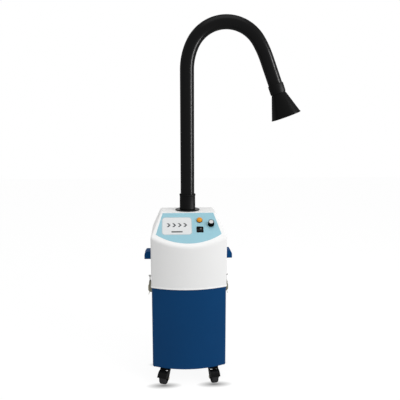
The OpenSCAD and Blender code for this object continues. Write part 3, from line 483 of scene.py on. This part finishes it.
def lamp_amber(name, tone):
    """Amber lens with fine moulded prisms inside."""
    made = Finish(
        name, IOR=1.49, Specular_IOR_Level=0.2, Coat_Weight=0.08, Coat_Roughness=0.1, Emission_Strength=0.08
    )
    prism = made.cells(520.0)
    return made.feed(
        Base_Color=made.mix(prism, shade(tone, 1.05), shade(tone, 0.7)),
        Emission_Color=made.mix(prism, shade(tone, 1.0), shade(tone, 0.6)),
        Roughness=prism * 0.1 + 0.16,
        Normal=made.bump(prism, 0.0001),
    )


def filter_cloth(name, tone, scale):
    """Fibres of a filter pad or folded paper."""
    made = Finish(name, Sheen_Weight=0.2)
    fibre = made.noise(1.0, 6.0, made.stretch((scale, scale * 0.4, scale * 2.0), (0.3, 0.2, 0.5)))
    return made.feed(
        Base_Color=made.mix(fibre, shade(tone, 0.72), shade(tone, 1.1)),
        Roughness=(fibre - 0.5) * 0.2 + 0.85,
        Normal=made.bump(fibre, 0.0003),
    )


def granules(name, tone):
    """Bed of crushed carbon."""
    made = Finish(name)
    grains = made.cells(320.0)
    return made.feed(
        Base_Color=made.mix(grains, shade(tone, 0.5), shade(tone, 2.2)),
        Roughness=grains * 0.3 + 0.6,
        Normal=made.bump(grains, 0.0012),
    )


def switch_mark(made):
    """A short bar on the rocker."""
    spot = middle("rocker")
    x, y, _ = made.axes()
    aside, half_x, half_y = 0.003, 0.0035, 0.0011
    return (abs(x - spot.x - aside) < half_x) & (abs(y - spot.y) < half_y)


def make_finishes(extractor):
    """All finishes, by material slot or by a name of their own."""
    tones = extractor.colours
    rubber = tuple(tones.rubber)
    made = {
        "blue_steel": enamelled("blue_enamel", tuple(tones.steel_blue)),
        "blue_plastic": moulded("blue_grip", tuple(tones.grip_blue), 0.5, Specular_IOR_Level=0.03),
        "white_plastic": cover_white("cover_white", tuple(tones.head)),
        # The lip's finish is the head's white made a tenth lighter: a painted highlight along the lip
        "lip_painted_highlight": cover_white("lip_white_painted_highlight", shade(tones.head, 1.1)),
        "white_grille": moulded("grille_white", tuple(tones.head), 0.45, mottle=0.04),
        "black_rubber": soft_rubber("cuff_rubber", rubber),
        "black_plastic": moulded_black("black_gloss", shade(rubber, 0.7), 0.26, 0.12, 0.3),
        "flange_black": moulded_black("flange_black", shade(rubber, 0.7), 0.4, 0.42, 0.12),
        "rocker_black": moulded(
            "rocker_black", shade(rubber, 0.7), 0.26, mark=switch_mark, Specular_IOR_Level=0.07
        ),
        "zinc_steel": plated("zinc_plate", tuple(tones.bright), 0.38),
        "bright_steel": plated("bright_steel", (0.32, 0.305, 0.235), 0.3, ACROSS_X),
        "latch_steel": plated("latch_steel", (0.19, 0.18, 0.135), 0.36, ACROSS_Z),
        # A darker copy of the latch steel for the keeper and bail: painted shade, not a different metal
        "latch_steel_painted_shade": plated("latch_steel_painted_shade", (0.045, 0.043, 0.033), 0.36, ACROSS_Z),
        "fork_black": moulded_black("fork_black", rubber, 0.4, 0.14, 0.35, grain=900.0),
        "wheel_black": soft_rubber("tread_rubber", shade(rubber, 7.0)),
        "filter_felt": filter_cloth("filter_felt", (0.72, 0.72, 0.70), 380.0),
        "filter_board": filter_cloth("filter_board", (0.48, 0.34, 0.19), 160.0),
        "filter_paper": filter_cloth("filter_paper", (0.83, 0.80, 0.70), 260.0),
        "cassette_grey": moulded("cassette_grey", (0.12, 0.12, 0.125), 0.5),
        "carbon_black": granules("carbon_granules", (0.012, 0.012, 0.012)),
        "board_green": moulded("board_green", (0.02, 0.16, 0.07), 0.35, Coat_Weight=0.4),
        "motor_grey": plated("motor_grey", (0.32, 0.33, 0.34), 0.46),
        "overlay_print": printed_film(
            "panel_film", tuple(tones.film), tuple(tones.film_pale), extractor.sizes
        ),
        "amber_lens": lamp_amber("lamp_amber", tuple(tones.amber)),
        "cap_silver": plated("knob_cap_silver", (0.30, 0.30, 0.30), 0.36),
        "blade_brass": plated("blade_brass", (0.72, 0.48, 0.18), 0.3),
        "hose_sheath": smooth_sheath("hose_sheath", rubber),
    }
    return {slot: finish.material for slot, finish in made.items()}


FINISHES = {}


def finish_for(slot):
    """The finish of a slot, all of them made on first use."""
    if not FINISHES:
        FINISHES.update(make_finishes(bpy.context.scene.extractor))
    return FINISHES[slot]


# Mesh helpers


def add_piece(bm, name, slot, body=None, stands_for=(), finish=None, smooth=38.0, weighted=False):
    """Turns a bmesh into a piece, which may ride on a body and stand for CAD nodes."""
    bmesh.ops.remove_doubles(bm, verts=bm.verts, dist=MERGE)
    mesh = bpy.data.meshes.new(name)
    bm.to_mesh(mesh)
    bm.free()
    made = bpy.data.objects.new(name, mesh)
    bpy.context.scene.collection.objects.link(made)
    dress(made, slot, finish, smooth)
    if weighted:
        made.modifiers.new("even_normals", "WEIGHTED_NORMAL").keep_sharp = True
    if body:
        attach(made, body)
    if stands_for:
        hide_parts(*stands_for)
    return made


def dress(made, slot, finish=None, smooth=38.0):
    """Gives an object its finish and its shading."""
    made.data.materials.clear()
    made.data.materials.append(finish_for(finish or slot))
    made.data.shade_smooth()
    made.data.set_sharp_from_angle(angle=math.radians(smooth))


def sharp_edges(bm, angle, test=lambda edge: True):
    """Edges whose two faces meet at more than an angle."""
    return [
        edge
        for edge in bm.edges
        if len(edge.link_faces) == 2 and edge.calc_face_angle(0.0) > math.radians(angle) and test(edge)
    ]


def round_edges(bm, edges, offset, segments=4):
    """Rolls edges off by a bevel."""
    bmesh.ops.bevel(
        bm, geom=edges, offset=offset, offset_type="OFFSET", affect="EDGES", segments=segments,
        profile=0.5, material=-1, clamp_overlap=False, loop_slide=True,
    )


def mid(edge):
    """Middle of an edge."""
    return (edge.verts[0].co + edge.verts[1].co) / 2


def extrude_up(bm, faces, step):
    """Raises faces by a vector, with walls behind them."""
    raised = bmesh.ops.extrude_face_region(bm, geom=faces)
    moved = [part for part in raised["geom"] if isinstance(part, bmesh.types.BMVert)]
    bmesh.ops.translate(bm, verts=moved, vec=step)
    bmesh.ops.recalc_face_normals(bm, faces=bm.faces)


def outline(bm, points):
    """One face through a few points."""
    return bm.faces.new([bm.verts.new(point) for point in points])


def turned(profile, origin, axis, soften=0.0, steps=96):
    """A turned solid: a closed profile of (radius, along) points spun about an axis."""
    bm = bmesh.new()
    axis = Vector(axis).normalized()
    side = axis.cross(Vector((0.0, 1.0, 0.0)))
    side = side.normalized() if side.length > 0.1 else Vector((0.0, 0.0, 1.0))
    ring = [bm.verts.new(Vector(origin) + axis * along + side * radius) for radius, along in profile]
    edges = [bm.edges.new(pair) for pair in zip(ring, ring[1:] + ring[:1])]
    bmesh.ops.spin(
        bm, geom=ring + edges, cent=origin, axis=axis, angle=FULL_TURN, steps=steps,
        use_merge=True, use_duplicate=False,
    )
    bmesh.ops.remove_doubles(bm, verts=bm.verts, dist=MERGE)
    flat = [face for face in bm.faces if face.calc_area() < TINY_AREA]
    bmesh.ops.delete(bm, geom=flat, context="FACES")
    bmesh.ops.recalc_face_normals(bm, faces=bm.faces)
    if soften:
        round_edges(bm, sharp_edges(bm, 28), soften, 3)
    return bm


def pierce(made, cutters):
    """Cuts closed shapes out of a piece."""
    mesh = bpy.data.meshes.new("cutters")
    cutters.to_mesh(mesh)
    cutters.free()
    tool = bpy.data.objects.new("cutters", mesh)
    bpy.context.scene.collection.objects.link(tool)
    cut = made.modifiers.new("holes", "BOOLEAN")
    cut.operation = "DIFFERENCE"
    cut.solver = "MANIFOLD"
    cut.object = tool
    seen = made.evaluated_get(bpy.context.evaluated_depsgraph_get())
    plain = made.data
    made.data = bpy.data.meshes.new_from_object(seen)
    made.modifiers.remove(cut)
    bpy.data.meshes.remove(plain)
    bpy.data.objects.remove(tool)
    bpy.data.meshes.remove(mesh)


# Shape of the body


def panel_top(sizes):
    """Where the panel starts behind the middle."""
    return sizes.rear - sizes.top_depth


def panel_slope(sizes):
    """Slope of the control panel."""
    return math.atan2(sizes.drop, panel_top(sizes) + sizes.rear - sizes.bow)


def on_panel(sizes, x, down):
    """A point on the control panel: sideways and down the slope."""
    slope = panel_slope(sizes)
    return Vector((x, panel_top(sizes) - down * math.cos(slope), sizes.top - down * math.sin(slope)))


def bow_radius(sizes):
    """Radius of the bowed front."""
    return (sizes.bow**2 + sizes.half_width**2) / (2 * sizes.bow)


def body_plan(bm, sizes, inset, z):
    """Outline of the body from above as one face, its front spun between the two front corners."""
    half = sizes.half_width - inset
    rear = sizes.rear - inset
    sweep = bow_radius(sizes)
    centre = Vector((0.0, sweep - sizes.rear, z))
    radius = sweep - inset
    reach = math.asin(half / radius)
    first = bm.verts.new(centre + Vector((-half, -radius * math.cos(reach), 0.0)))
    spun = bmesh.ops.spin(
        bm, geom=[first], cent=centre, axis=(0.0, 0.0, 1.0), angle=2 * reach, steps=56, use_duplicate=False
    )
    last = [part for part in spun["geom_last"] if isinstance(part, bmesh.types.BMVert)][0]
    right = bm.verts.new((half, rear, z))
    left = bm.verts.new((-half, rear, z))
    for pair in ((last, right), (right, left), (left, first)):
        bm.edges.new(pair)
    made = bmesh.ops.contextual_create(bm, geom=bm.edges[:])
    return made["faces"][0]


def body_prism(sizes, inset, low_z, high_z):
    """The body's outline raised from one height to another, with its upright corners rounded."""
    bm = bmesh.new()
    face = body_plan(bm, sizes, inset, low_z)
    extrude_up(bm, [face], (0.0, 0.0, high_z - low_z))
    half = sizes.half_width - inset

    def upright(edge, front):
        """Whether an edge is one of the upright corners in front or behind."""
        spot = mid(edge)
        tall = abs(edge.verts[0].co.z - edge.verts[1].co.z) > 1e-4
        return tall and abs(abs(spot.x) - half) < 1e-5 and (spot.y < 0) == front

    turn = math.asin(half / (bow_radius(sizes) - inset))
    front_reach = sizes.corner * math.tan((math.pi / 2 - turn) / 2)
    round_edges(bm, [edge for edge in bm.edges if upright(edge, True)], front_reach, 8)
    round_edges(bm, [edge for edge in bm.edges if upright(edge, False)], sizes.corner, 8)
    return bm


def inward_shell(bm, wall):
    """Gives an open skin a wall on its inner side."""
    bmesh.ops.recalc_face_normals(bm, faces=bm.faces)
    bmesh.ops.solidify(bm, geom=bm.faces[:], thickness=wall)


# Operators


class EXTRACTOR_OT_head(bpy.types.Operator):
    """Moulded head cover: bowed front, sloped panel, side chamfers, rolled edges and a lip"""

    bl_idname = "extractor.head"
    bl_label = "Head cover"

    # The block is drawn in to points up to so far above the seam; its skin is sought on the way by halving
    heart_rise = 0.1
    farthest = 1.2
    halvings = 40

    # Radii of the round holes, and width, depth and height of the square ones
    lamp_hole = 0.0102
    bush_hole = 0.0047
    hose_hole = 0.028
    switch_hole = (0.0234, 0.0234, 0.03)
    grille_hole = (0.037, 0.02, 0.055)
    inlet_hole = (0.0304, 0.02, 0.0224)
    drill = 0.03

    # The lip stands out from the head
    lip_out = 0.001
    lip_wall = 0.0025
    lip_roll = 0.0009

    def execute(self, context):
        sizes = context.scene.extractor.sizes
        bm = bmesh.new()
        tall = sizes.top - sizes.seam
        block = Matrix.Translation((0.0, 0.0, sizes.seam + tall / 2))
        extent = Matrix.Diagonal((2 * sizes.half_width, 2 * sizes.rear, tall, 1.0))
        bmesh.ops.create_cube(bm, size=1.0, matrix=block @ extent)
        bmesh.ops.subdivide_edges(bm, edges=bm.edges[:], cuts=sizes.head_cuts, use_grid_fill=True)
        foot = [face for face in bm.faces if face.normal.z < -0.9]
        bmesh.ops.delete(bm, geom=foot, context="FACES")
        self.press(bm, sizes)
        inward_shell(bm, sizes.wall)
        cover = add_piece(bm, "head_cover", "white_plastic", smooth=30.0)
        pierce(cover, self.holes(sizes))
        dress(cover, "white_plastic", smooth=30.0)
        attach(cover, "cabinet")
        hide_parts("head_shell")
        self.lip(sizes)
        return {"FINISHED"}

    def press(self, bm, sizes):
        """Draws a gridded block in to the head's faces, its edges rolled off where they meet."""
        slope = panel_slope(sizes)
        lean = math.atan2(sizes.drop, sizes.half_width - sizes.top_half)
        sweep = bow_radius(sizes)
        nose = sizes.nose_edge
        edge = sizes.soft_edge

        def beyond(at):
            """How far points lie outside the head, past all its rolled faces together."""
            x, y, z = at.T
            rise = z - sizes.top
            side = np.abs(x) - sizes.half_width
            faces = (
                (nose, np.hypot(x, y + sizes.rear - sweep) - sweep),
                (edge, side),
                (edge, y - sizes.rear),
                (edge, rise),
                (nose, math.cos(slope) * rise - math.sin(slope) * (y - panel_top(sizes))),
                (edge, math.sin(lean) * side + math.cos(lean) * (rise + sizes.drop)),
            )
            past = [np.maximum(gap / roll + 1.0, 0.0) ** 2 for roll, gap in faces]
            return np.sqrt(sum(past)) - 1.0

        spots = np.array([vert.co for vert in bm.verts])
        heart = np.zeros_like(spots)
        heart[:, 2] = np.minimum(spots[:, 2], sizes.seam + self.heart_rise)
        near = np.zeros(len(spots))
        far = np.full(len(spots), self.farthest)
        for _ in range(self.halvings):
            half = (near + far) / 2
            outside = beyond(heart + (spots - heart) * half[:, None]) > 0
            far = np.where(outside, half, far)
            near = np.where(outside, near, half)
        for vert, spot in zip(bm.verts, heart + (spots - heart) * near[:, None]):
            vert.co = spot

    def holes(self, sizes):
        """Openings for the lamp, the knob's bush, the switch, the hose, the grille and the inlet."""
        bm = bmesh.new()
        slope = Matrix.Rotation(panel_slope(sizes), 4, "X")

        def round_hole(place, radius, segments):
            bmesh.ops.create_cone(
                bm, cap_ends=True, segments=segments, radius1=radius, radius2=radius,
                depth=self.drill, matrix=place,
            )

        def square_hole(place, size):
            bmesh.ops.create_cube(bm, size=1.0, matrix=place @ Matrix.Diagonal((*size, 1.0)))

        for spot, radius in ((LAMP_SPOT, self.lamp_hole), (KNOB_SPOT, self.bush_hole)):
            round_hole(Matrix.Translation(on_panel(sizes, *spot)) @ slope, radius, 48)
        square_hole(Matrix.Translation(on_panel(sizes, *SWITCH_SPOT)) @ slope, self.switch_hole)
        for node, size in (("exhaust_grille", self.grille_hole), ("mains_socket", self.inlet_hole)):
            spot = middle(node)
            square_hole(Matrix.Translation((spot.x, sizes.rear, spot.z)), size)
        spot = middle("hose_flange")
        round_hole(Matrix.Translation((spot.x, spot.y, sizes.top)), self.hose_hole, 64)
        bmesh.ops.recalc_face_normals(bm, faces=bm.faces)
        return bm

    def lip(self, sizes):
        """Raised band round the foot of the head."""
        bm = body_prism(sizes, -self.lip_out, sizes.seam, sizes.seam + sizes.lip)
        caps = [face for face in bm.faces if abs(face.normal.z) > 0.9]
        bmesh.ops.delete(bm, geom=caps, context="FACES_ONLY")
        inward_shell(bm, self.lip_wall)
        round_edges(bm, sharp_edges(bm, 60), self.lip_roll, 3)
        # The lip's lighter white is a painted highlight, not a different plastic
        add_piece(bm, "head_lip", "white_plastic", "cabinet", ("head_shell",), "lip_painted_highlight", weighted=True)


class EXTRACTOR_OT_bin(bpy.types.Operator):
    """Enamelled filter bin with a rolled foot"""

    bl_idname = "extractor.bin"
    bl_label = "Filter bin"

    foot_roll = 0.004
    near = 0.001

    def execute(self, context):
        sizes = context.scene.extractor.sizes
        foot = low("bin_shell").z
        rim = high("bin_shell").z
        bm = body_prism(sizes, sizes.bin_inset, foot, rim)
        low_edges = sharp_edges(bm, 60, lambda edge: mid(edge).z < foot + self.near)
        round_edges(bm, low_edges, self.foot_roll, 5)
        flat = [face for face in bm.faces if face.normal.z > 0.9]
        lid = [face for face in flat if face.calc_center_median().z > rim - self.near]
        bmesh.ops.delete(bm, geom=lid, context="FACES_ONLY")
        inward_shell(bm, sizes.bin_wall)
        add_piece(bm, "filter_bin", "blue_steel", "cabinet", ("bin_shell",), smooth=30.0, weighted=True)
        return {"FINISHED"}


class EXTRACTOR_OT_handles(bpy.types.Operator):
    """Cup handles with a chamfered brow, open below"""

    bl_idname = "extractor.handles"
    bl_label = "Handles"

    brow_down = 0.012
    brow_in = 0.007
    roll = 0.0025
    wall = 0.003
    near = 0.001

    def execute(self, context):
        for name, side in SIDES:
            node = "handle_" + name
            foot, crown = low(node), high(node)
            inner = min(abs(foot.x), abs(crown.x))
            outer = max(abs(foot.x), abs(crown.x))
            profile = (
                (inner, foot.z), (outer, foot.z), (outer, crown.z - self.brow_down),
                (outer - self.brow_in, crown.z), (inner, crown.z),
            )
            bm = bmesh.new()
            face = outline(bm, [(side * across, foot.y, up) for across, up in profile])
            extrude_up(bm, [face], (0.0, crown.y - foot.y, 0.0))
            gone = [part for part in bm.faces if part.normal.z < -0.9]
            bmesh.ops.delete(bm, geom=gone, context="FACES_ONLY")
            outside = sharp_edges(bm, 20, lambda edge: abs(mid(edge).x) > inner + self.near)
            round_edges(bm, outside, self.roll, 4)
            inward_shell(bm, self.wall)
            add_piece(bm, "grip_" + name, "blue_plastic", "cabinet", (node,), smooth=30.0, weighted=True)
        return {"FINISHED"}


class EXTRACTOR_OT_arm(bpy.types.Operator):
    """Flange, cuff and the bendable hose in two lengths, with its metal core"""

    bl_idname = "extractor.arm"
    bl_label = "Suction arm"

    # The hose rises from its foot to the first bend and is cut in two at the split
    foot = 0.7176
    split = 1.10
    bend = 1.253

    # Its bends one after another: middle in the arch's plane, and angle; then comes a straight leg
    bends = (((0.233, 1.253), 25.0), ((0.159589, 1.287232), 124.0), ((-0.070131, 1.149202), 10.5))
    leg = 0.126

    # Rings along the riser and along a straight end of the arch; fewest in a bend, and degrees between them
    riser_rings = 44
    end_rings = 12
    fewest_rings = 8
    ring_degrees = 2.2

    # The metal core lies this far inside the hose's outer face
    core_inset = 0.0037
    core_wall = 0.001

    def execute(self, context):
        sizes = context.scene.extractor.sizes
        y = middle("hose_cuff").y
        core_radius = sizes.hose_radius - self.core_inset
        for name, slot, finish, radius, wall in (
            ("hose", "black_rubber", "hose_sheath", sizes.hose_radius, sizes.hose_wall),
            ("gooseneck_core", "zinc_steel", "zinc_steel", core_radius, self.core_wall),
        ):
            lower = self.straight(radius, wall, y)
            made = add_piece(lower, name + "_riser", slot, finish=finish)
            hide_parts(name)
            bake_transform(made)
            upper = self.arch(radius, wall, y)
            made = add_piece(upper, name + "_arch", slot, finish=finish)
            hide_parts(name)
            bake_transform(made)
        self.flange(sizes, y)
        self.cuff(sizes, y)
        return {"FINISHED"}

    def rise(self, bm, edges, step, count):
        """Carries a ring on along a straight line."""
        for _ in range(count):
            grown = bmesh.ops.extrude_edge_only(bm, edges=edges)["geom"]
            verts = [part for part in grown if isinstance(part, bmesh.types.BMVert)]
            bmesh.ops.translate(bm, verts=verts, vec=step / count)
            grown_edges = [part for part in grown if isinstance(part, bmesh.types.BMEdge)]
            edges = [edge for edge in grown_edges if all(vert in verts for vert in edge.verts)]
        return edges

    def ring(self, bm, radius, y, z):
        """The first ring of a length of hose."""
        bmesh.ops.create_circle(
            bm, cap_ends=False, segments=56, radius=radius, matrix=Matrix.Translation((0.0, y, z))
        )
        return bm.edges[:]

    def straight(self, radius, wall, y):
        """The lower length, straight up to the split."""
        bm = bmesh.new()
        edges = self.ring(bm, radius, y, self.foot)
        self.rise(bm, edges, Vector((0.0, 0.0, self.split - self.foot)), self.riser_rings)
        inward_shell(bm, wall)
        return bm

    def arch(self, radius, wall, y):
        """The upper length, over its bends and down the leg."""
        bm = bmesh.new()
        edges = self.ring(bm, radius, y, self.split)
        edges = self.rise(bm, edges, Vector((0.0, 0.0, self.bend - self.split)), self.end_rings)
        turned_by = 0.0
        for (x, z), angle in self.bends:
            spun = bmesh.ops.spin(
                bm, geom=edges, cent=(x, y, z), axis=(0.0, 1.0, 0.0), angle=math.radians(angle),
                steps=max(self.fewest_rings, int(angle / self.ring_degrees)), use_duplicate=False,
            )
            edges = [part for part in spun["geom_last"] if isinstance(part, bmesh.types.BMEdge)]
            turned_by += math.radians(angle)
        ahead = Vector((math.sin(turned_by), 0.0, math.cos(turned_by)))
        self.rise(bm, edges, ahead * self.leg, self.end_rings)
        inward_shell(bm, wall)
        return bm

    def flange(self, sizes, y):
        """The plate on the head's top, with its spigot above and its sleeve below."""
        base = low("hose_flange").z
        top = sizes.top
        profile = [
            (0.0250, base), (0.0276, base), (0.0276, top), (0.0505, top), (0.0505, top + 0.0036),
            (0.0480, top + 0.0050), (0.0345, top + 0.0050), (0.0283, top + 0.0050), (0.0283, top + 0.0350),
            (0.0250, top + 0.0350),
        ]
        bm = turned(profile, (0.0, y, 0.0), (0.0, 0.0, 1.0), 0.0009)
        add_piece(bm, "flange_plate", "black_plastic", "cabinet", ("hose_flange",), "flange_black")

    def cuff(self, sizes, y):
        """The rubber cuff round the hose's foot."""
        base = low("hose_cuff").z
        tall = high("hose_cuff").z - base
        shelf = 0.0301
        neck = sizes.hose_radius - 0.0001
        inner = sizes.hose_radius + 0.0003
        outer = sizes.hose_radius + 0.004
        profile = [
            (neck, 0.0), (outer + 0.0006, 0.0), (outer + 0.0006, 0.004), (outer, 0.0055),
            (outer - 0.0004, tall - 0.0085), (outer + 0.001, tall - 0.006), (outer + 0.001, tall - 0.001),
            (outer - 0.0005, tall), (inner, tall), (inner, shelf), (neck, shelf),
        ]
        bm = turned(profile, (0.0, y, base), (0.0, 0.0, 1.0), 0.0005)
        add_piece(bm, "riser_cuff", "black_rubber", "arm_base", ("hose_cuff",))


class EXTRACTOR_OT_hood(bpy.types.Operator):
    """Conical hood with a rolled rim, and the cuff that holds it"""

    bl_idname = "extractor.hood"
    bl_label = "Hood"

    # Where the cuff starts on the hose's leg, across and up
    start = (0.360393, 1.197002)

    # The cone from its throat to its mouth, as radius and distance from the start, and its rolled rim
    throat = (0.0322, 0.0480)
    mouth = (0.0600, 0.1330)
    rim = (0.0600, 0.1350)
    rim_radius = 0.002
    rim_degrees = (-40, 0, 40, 80, 120, 160)
    flare_shares = (0.25, 0.5, 0.75, 1.0)
    wall = 0.0024

    def execute(self, context):
        sizes = context.scene.extractor.sizes
        y = middle("hood").y
        turn = math.radians(180.0 - sum(angle for _, angle in EXTRACTOR_OT_arm.bends))
        axis = Vector((math.sin(turn), 0.0, -math.cos(turn)))
        start = Vector((self.start[0], y, self.start[1]))
        bore = sizes.hose_radius + 0.0003
        cuff = [
            (bore, 0.0), (bore + 0.0022, 0.0), (bore + 0.0028, 0.0015), (bore + 0.0026, 0.0340),
            (bore + 0.0018, 0.0375), (bore + 0.0012, 0.0380), (bore, 0.0380),
        ]
        bm = turned(cuff, start, axis, 0.0004)
        add_piece(bm, "hood_sleeve", "black_rubber", "hood_end", ("hood_cuff",))
        neck = sizes.hose_radius + 0.0001
        outer = [(neck, 0.0206), (neck, 0.0385), (0.0300, 0.0425), self.throat]
        flare = [
            tuple(near + (far - near) * share for near, far in zip(self.throat, self.mouth))
            for share in self.flare_shares
        ]
        rim = [
            (self.rim[0] + self.rim_radius * math.cos(angle), self.rim[1] + self.rim_radius * math.sin(angle))
            for angle in map(math.radians, self.rim_degrees)
        ]
        inner = [(radius - self.wall, along) for radius, along in reversed(outer + flare)]
        bm = turned(outer + flare + rim + inner, start, axis, steps=112)
        add_piece(bm, "hood_cone", "black_plastic", "hood_end", ("hood",), smooth=45.0)
        return {"FINISHED"}


class EXTRACTOR_OT_casters(bpy.types.Operator):
    """Four caster wheels with a crowned tread and a dished hub"""

    bl_idname = "extractor.casters"
    bl_label = "Casters"

    bore = 0.00305
    hub = 0.0078

    def execute(self, context):
        sizes = context.scene.extractor.sizes
        outer = sizes.wheel_radius
        half = sizes.wheel_width / 2
        dish = 0.003 - half
        profile = [
            (self.bore, -half), (self.hub, -half), (self.hub + 0.0008, dish), (outer - 0.0068, dish),
            (outer - 0.0062, -half), (outer - 0.0030, -half), (outer - 0.0008, -half + 0.0022),
            (outer, -half + 0.0060),
        ]
        profile += [(radius, -along) for radius, along in reversed(profile)]
        for corner in CORNERS:
            node = "caster_wheel_" + corner
            axis = JOINT["wheel_spin_" + corner]["axis"]
            bm = turned(profile, middle(node), axis, 0.0005, 72)
            add_piece(bm, "tread_" + corner, "wheel_black", "wheel_" + corner, (node,))
        return {"FINISHED"}


class EXTRACTOR_OT_carried(bpy.types.Operator):
    """Finishes for the CAD nodes that stay as they are"""

    bl_idname = "extractor.carried"
    bl_label = "Carried parts"

    def execute(self, context):
        for name, node in frame["nodes"].items():
            if node.hide_render:
                continue
            node.data.materials.clear()
            node.data.materials.append(finish_for(OWN_FINISH.get(name, SLOT[name])))
        return {"FINISHED"}


class EXTRACTOR_OT_stage(bpy.types.Operator):
    """Floor, room light, three lamps and the camera"""

    bl_idname = "extractor.stage"
    bl_label = "Stage"

    # Each lamp: its place, what it points at, its width and height
    key_lamp = ((1.9, -1.5, 1.75), (0.05, 0.0, 0.65), (1.3, 1.3))
    top_lamp = ((0.2, -0.5, 3.0), (0.1, 0.0, 0.7), (1.6, 1.6))
    strip_lamp = ((1.7, -0.5, 1.25), (0.1, 0.05, 1.15), (0.3, 1.5))

    # The strip lamp lights only these
    edged = ("hose_riser", "hose_arch", "riser_cuff", "hood_sleeve", "hood_cone")

    # The floor, and the shade under each wheel: half its size, and how far it falls forward
    floor_half = 8.0
    floor_glow = 1.06
    shade_x = 0.075
    shade_y = 0.026
    shade_ahead = 0.018

    def execute(self, context):
        stage = context.scene.extractor.stage
        self.floor(stage)
        self.room(context.scene, stage)
        key = self.lamp("key_lamp", *self.key_lamp, stage.key)
        key.visible_glossy = False
        self.lamp("top_lamp", *self.top_lamp, stage.fill)
        strip = self.lamp("strip_lamp", *self.strip_lamp, stage.strip)
        strip.visible_diffuse = False
        edged = bpy.data.collections.new("strip_edged")
        for name in self.edged:
            edged.objects.link(bpy.data.objects[name])
        strip.light_linking.receiver_collection = edged
        camera = bpy.data.cameras.new("camera")
        camera.sensor_width = 36.0
        camera.lens = stage.lens
        eye = bpy.data.objects.new("camera", camera)
        eye.location = stage.eye
        eye.rotation_euler = Euler(stage.aim)
        context.scene.collection.objects.link(eye)
        context.scene.camera = eye
        context.scene.view_settings.view_transform = "Standard"
        return {"FINISHED"}

    def floor(self, stage):
        """A white floor that the eye sees almost as bright as the room."""
        bm = bmesh.new()
        bmesh.ops.create_grid(bm, x_segments=1, y_segments=1, size=self.floor_half)
        mesh = bpy.data.meshes.new("floor")
        bm.to_mesh(mesh)
        bm.free()
        ground = bpy.data.objects.new("floor", mesh)
        bpy.context.scene.collection.objects.link(ground)
        paint = Finish("floor_white", Roughness=0.9)
        paint.feed(Base_Color=(0.86, 0.86, 0.86))
        white = paint.mix(self.contact(paint), (1.0, 1.0, 1.0), (0.12, 0.12, 0.12))
        glow = paint.add("ShaderNodeEmission", values={"Color": white, "Strength": self.floor_glow})
        lit = Wire(paint, paint.shader.outputs[0])
        seen = paint.seen() * stage.floor_white
        paint.end(paint.add("ShaderNodeMixShader", values={0: seen, 1: lit, 2: glow}))
        mesh.materials.append(paint.material)

    def contact(self, paint):
        """Soft shade on the floor where each wheel stands."""
        x, y, _ = paint.axes()
        shaded = 0.0
        for corner in CORNERS:
            spot = middle("caster_wheel_" + corner)
            across = (x - spot.x) / self.shade_x
            along = (y - spot.y + self.shade_ahead) / self.shade_y
            away = (across * across + along * along) ** 0.5
            shaded = paint.ramp(away, (0.1, 0.85), (1.0, 0.0)) | shaded
        return shaded

    def room(self, scene, stage):
        """Even light all round, which the eye sees as white."""
        world = bpy.data.worlds.new("room")
        world.use_nodes = True
        scene.world = world
        sky = Graph(world.node_tree)
        sky.tree.nodes.remove(sky.tree.nodes["Background"])
        even, white = (
            sky.add("ShaderNodeBackground", values={"Color": (1.0, 1.0, 1.0), "Strength": strength})
            for strength in (stage.room, 1.0)
        )
        sky.end(sky.add("ShaderNodeMixShader", values={0: sky.seen(), 1: even, 2: white}))

    def lamp(self, name, place, target, size, power):
        """A flat lamp that points at a target."""
        light = bpy.data.lights.new(name, "AREA")
        light.shape = "RECTANGLE"
        light.size, light.size_y = size
        light.energy = power
        made = bpy.data.objects.new(name, light)
        made.location = place
        made.rotation_euler = (Vector(target) - Vector(place)).to_track_quat("-Z", "Y").to_euler()
        bpy.context.scene.collection.objects.link(made)
        return made


OPERATORS = (
    EXTRACTOR_OT_head,
    EXTRACTOR_OT_bin,
    EXTRACTOR_OT_handles,
    EXTRACTOR_OT_arm,
    EXTRACTOR_OT_hood,
    EXTRACTOR_OT_casters,
    EXTRACTOR_OT_carried,
    EXTRACTOR_OT_stage,
)


class EXTRACTOR_PT_panel(bpy.types.Panel):
    """Sizes, colours and steps of the fume extractor"""

    bl_idname = "EXTRACTOR_PT_panel"
    bl_label = "Fume extractor"
    bl_space_type = "VIEW_3D"
    bl_region_type = "UI"
    bl_category = "Extractor"

    def draw(self, context):
        extractor = context.scene.extractor
        for group in (extractor.sizes, extractor.colours, extractor.stage):
            box = self.layout.box()
            for name in group.__annotations__:
                box.prop(group, name)
        for operator in OPERATORS:
            self.layout.operator(operator.bl_idname)


CLASSES = (ExtractorSizes, ExtractorColours, ExtractorStage, Extractor, *OPERATORS, EXTRACTOR_PT_panel)


def register():
    for cls in CLASSES:
        bpy.utils.register_class(cls)
    bpy.types.Scene.extractor = PointerProperty(type=Extractor)


def unregister():
    del bpy.types.Scene.extractor
    for cls in reversed(CLASSES):
        bpy.utils.unregister_class(cls)


def main():
    register()
    for operator in OPERATORS:
        group, name = operator.bl_idname.split(".")
        getattr(getattr(bpy.ops, group), name)()


if __name__ == "__main__":
    main()
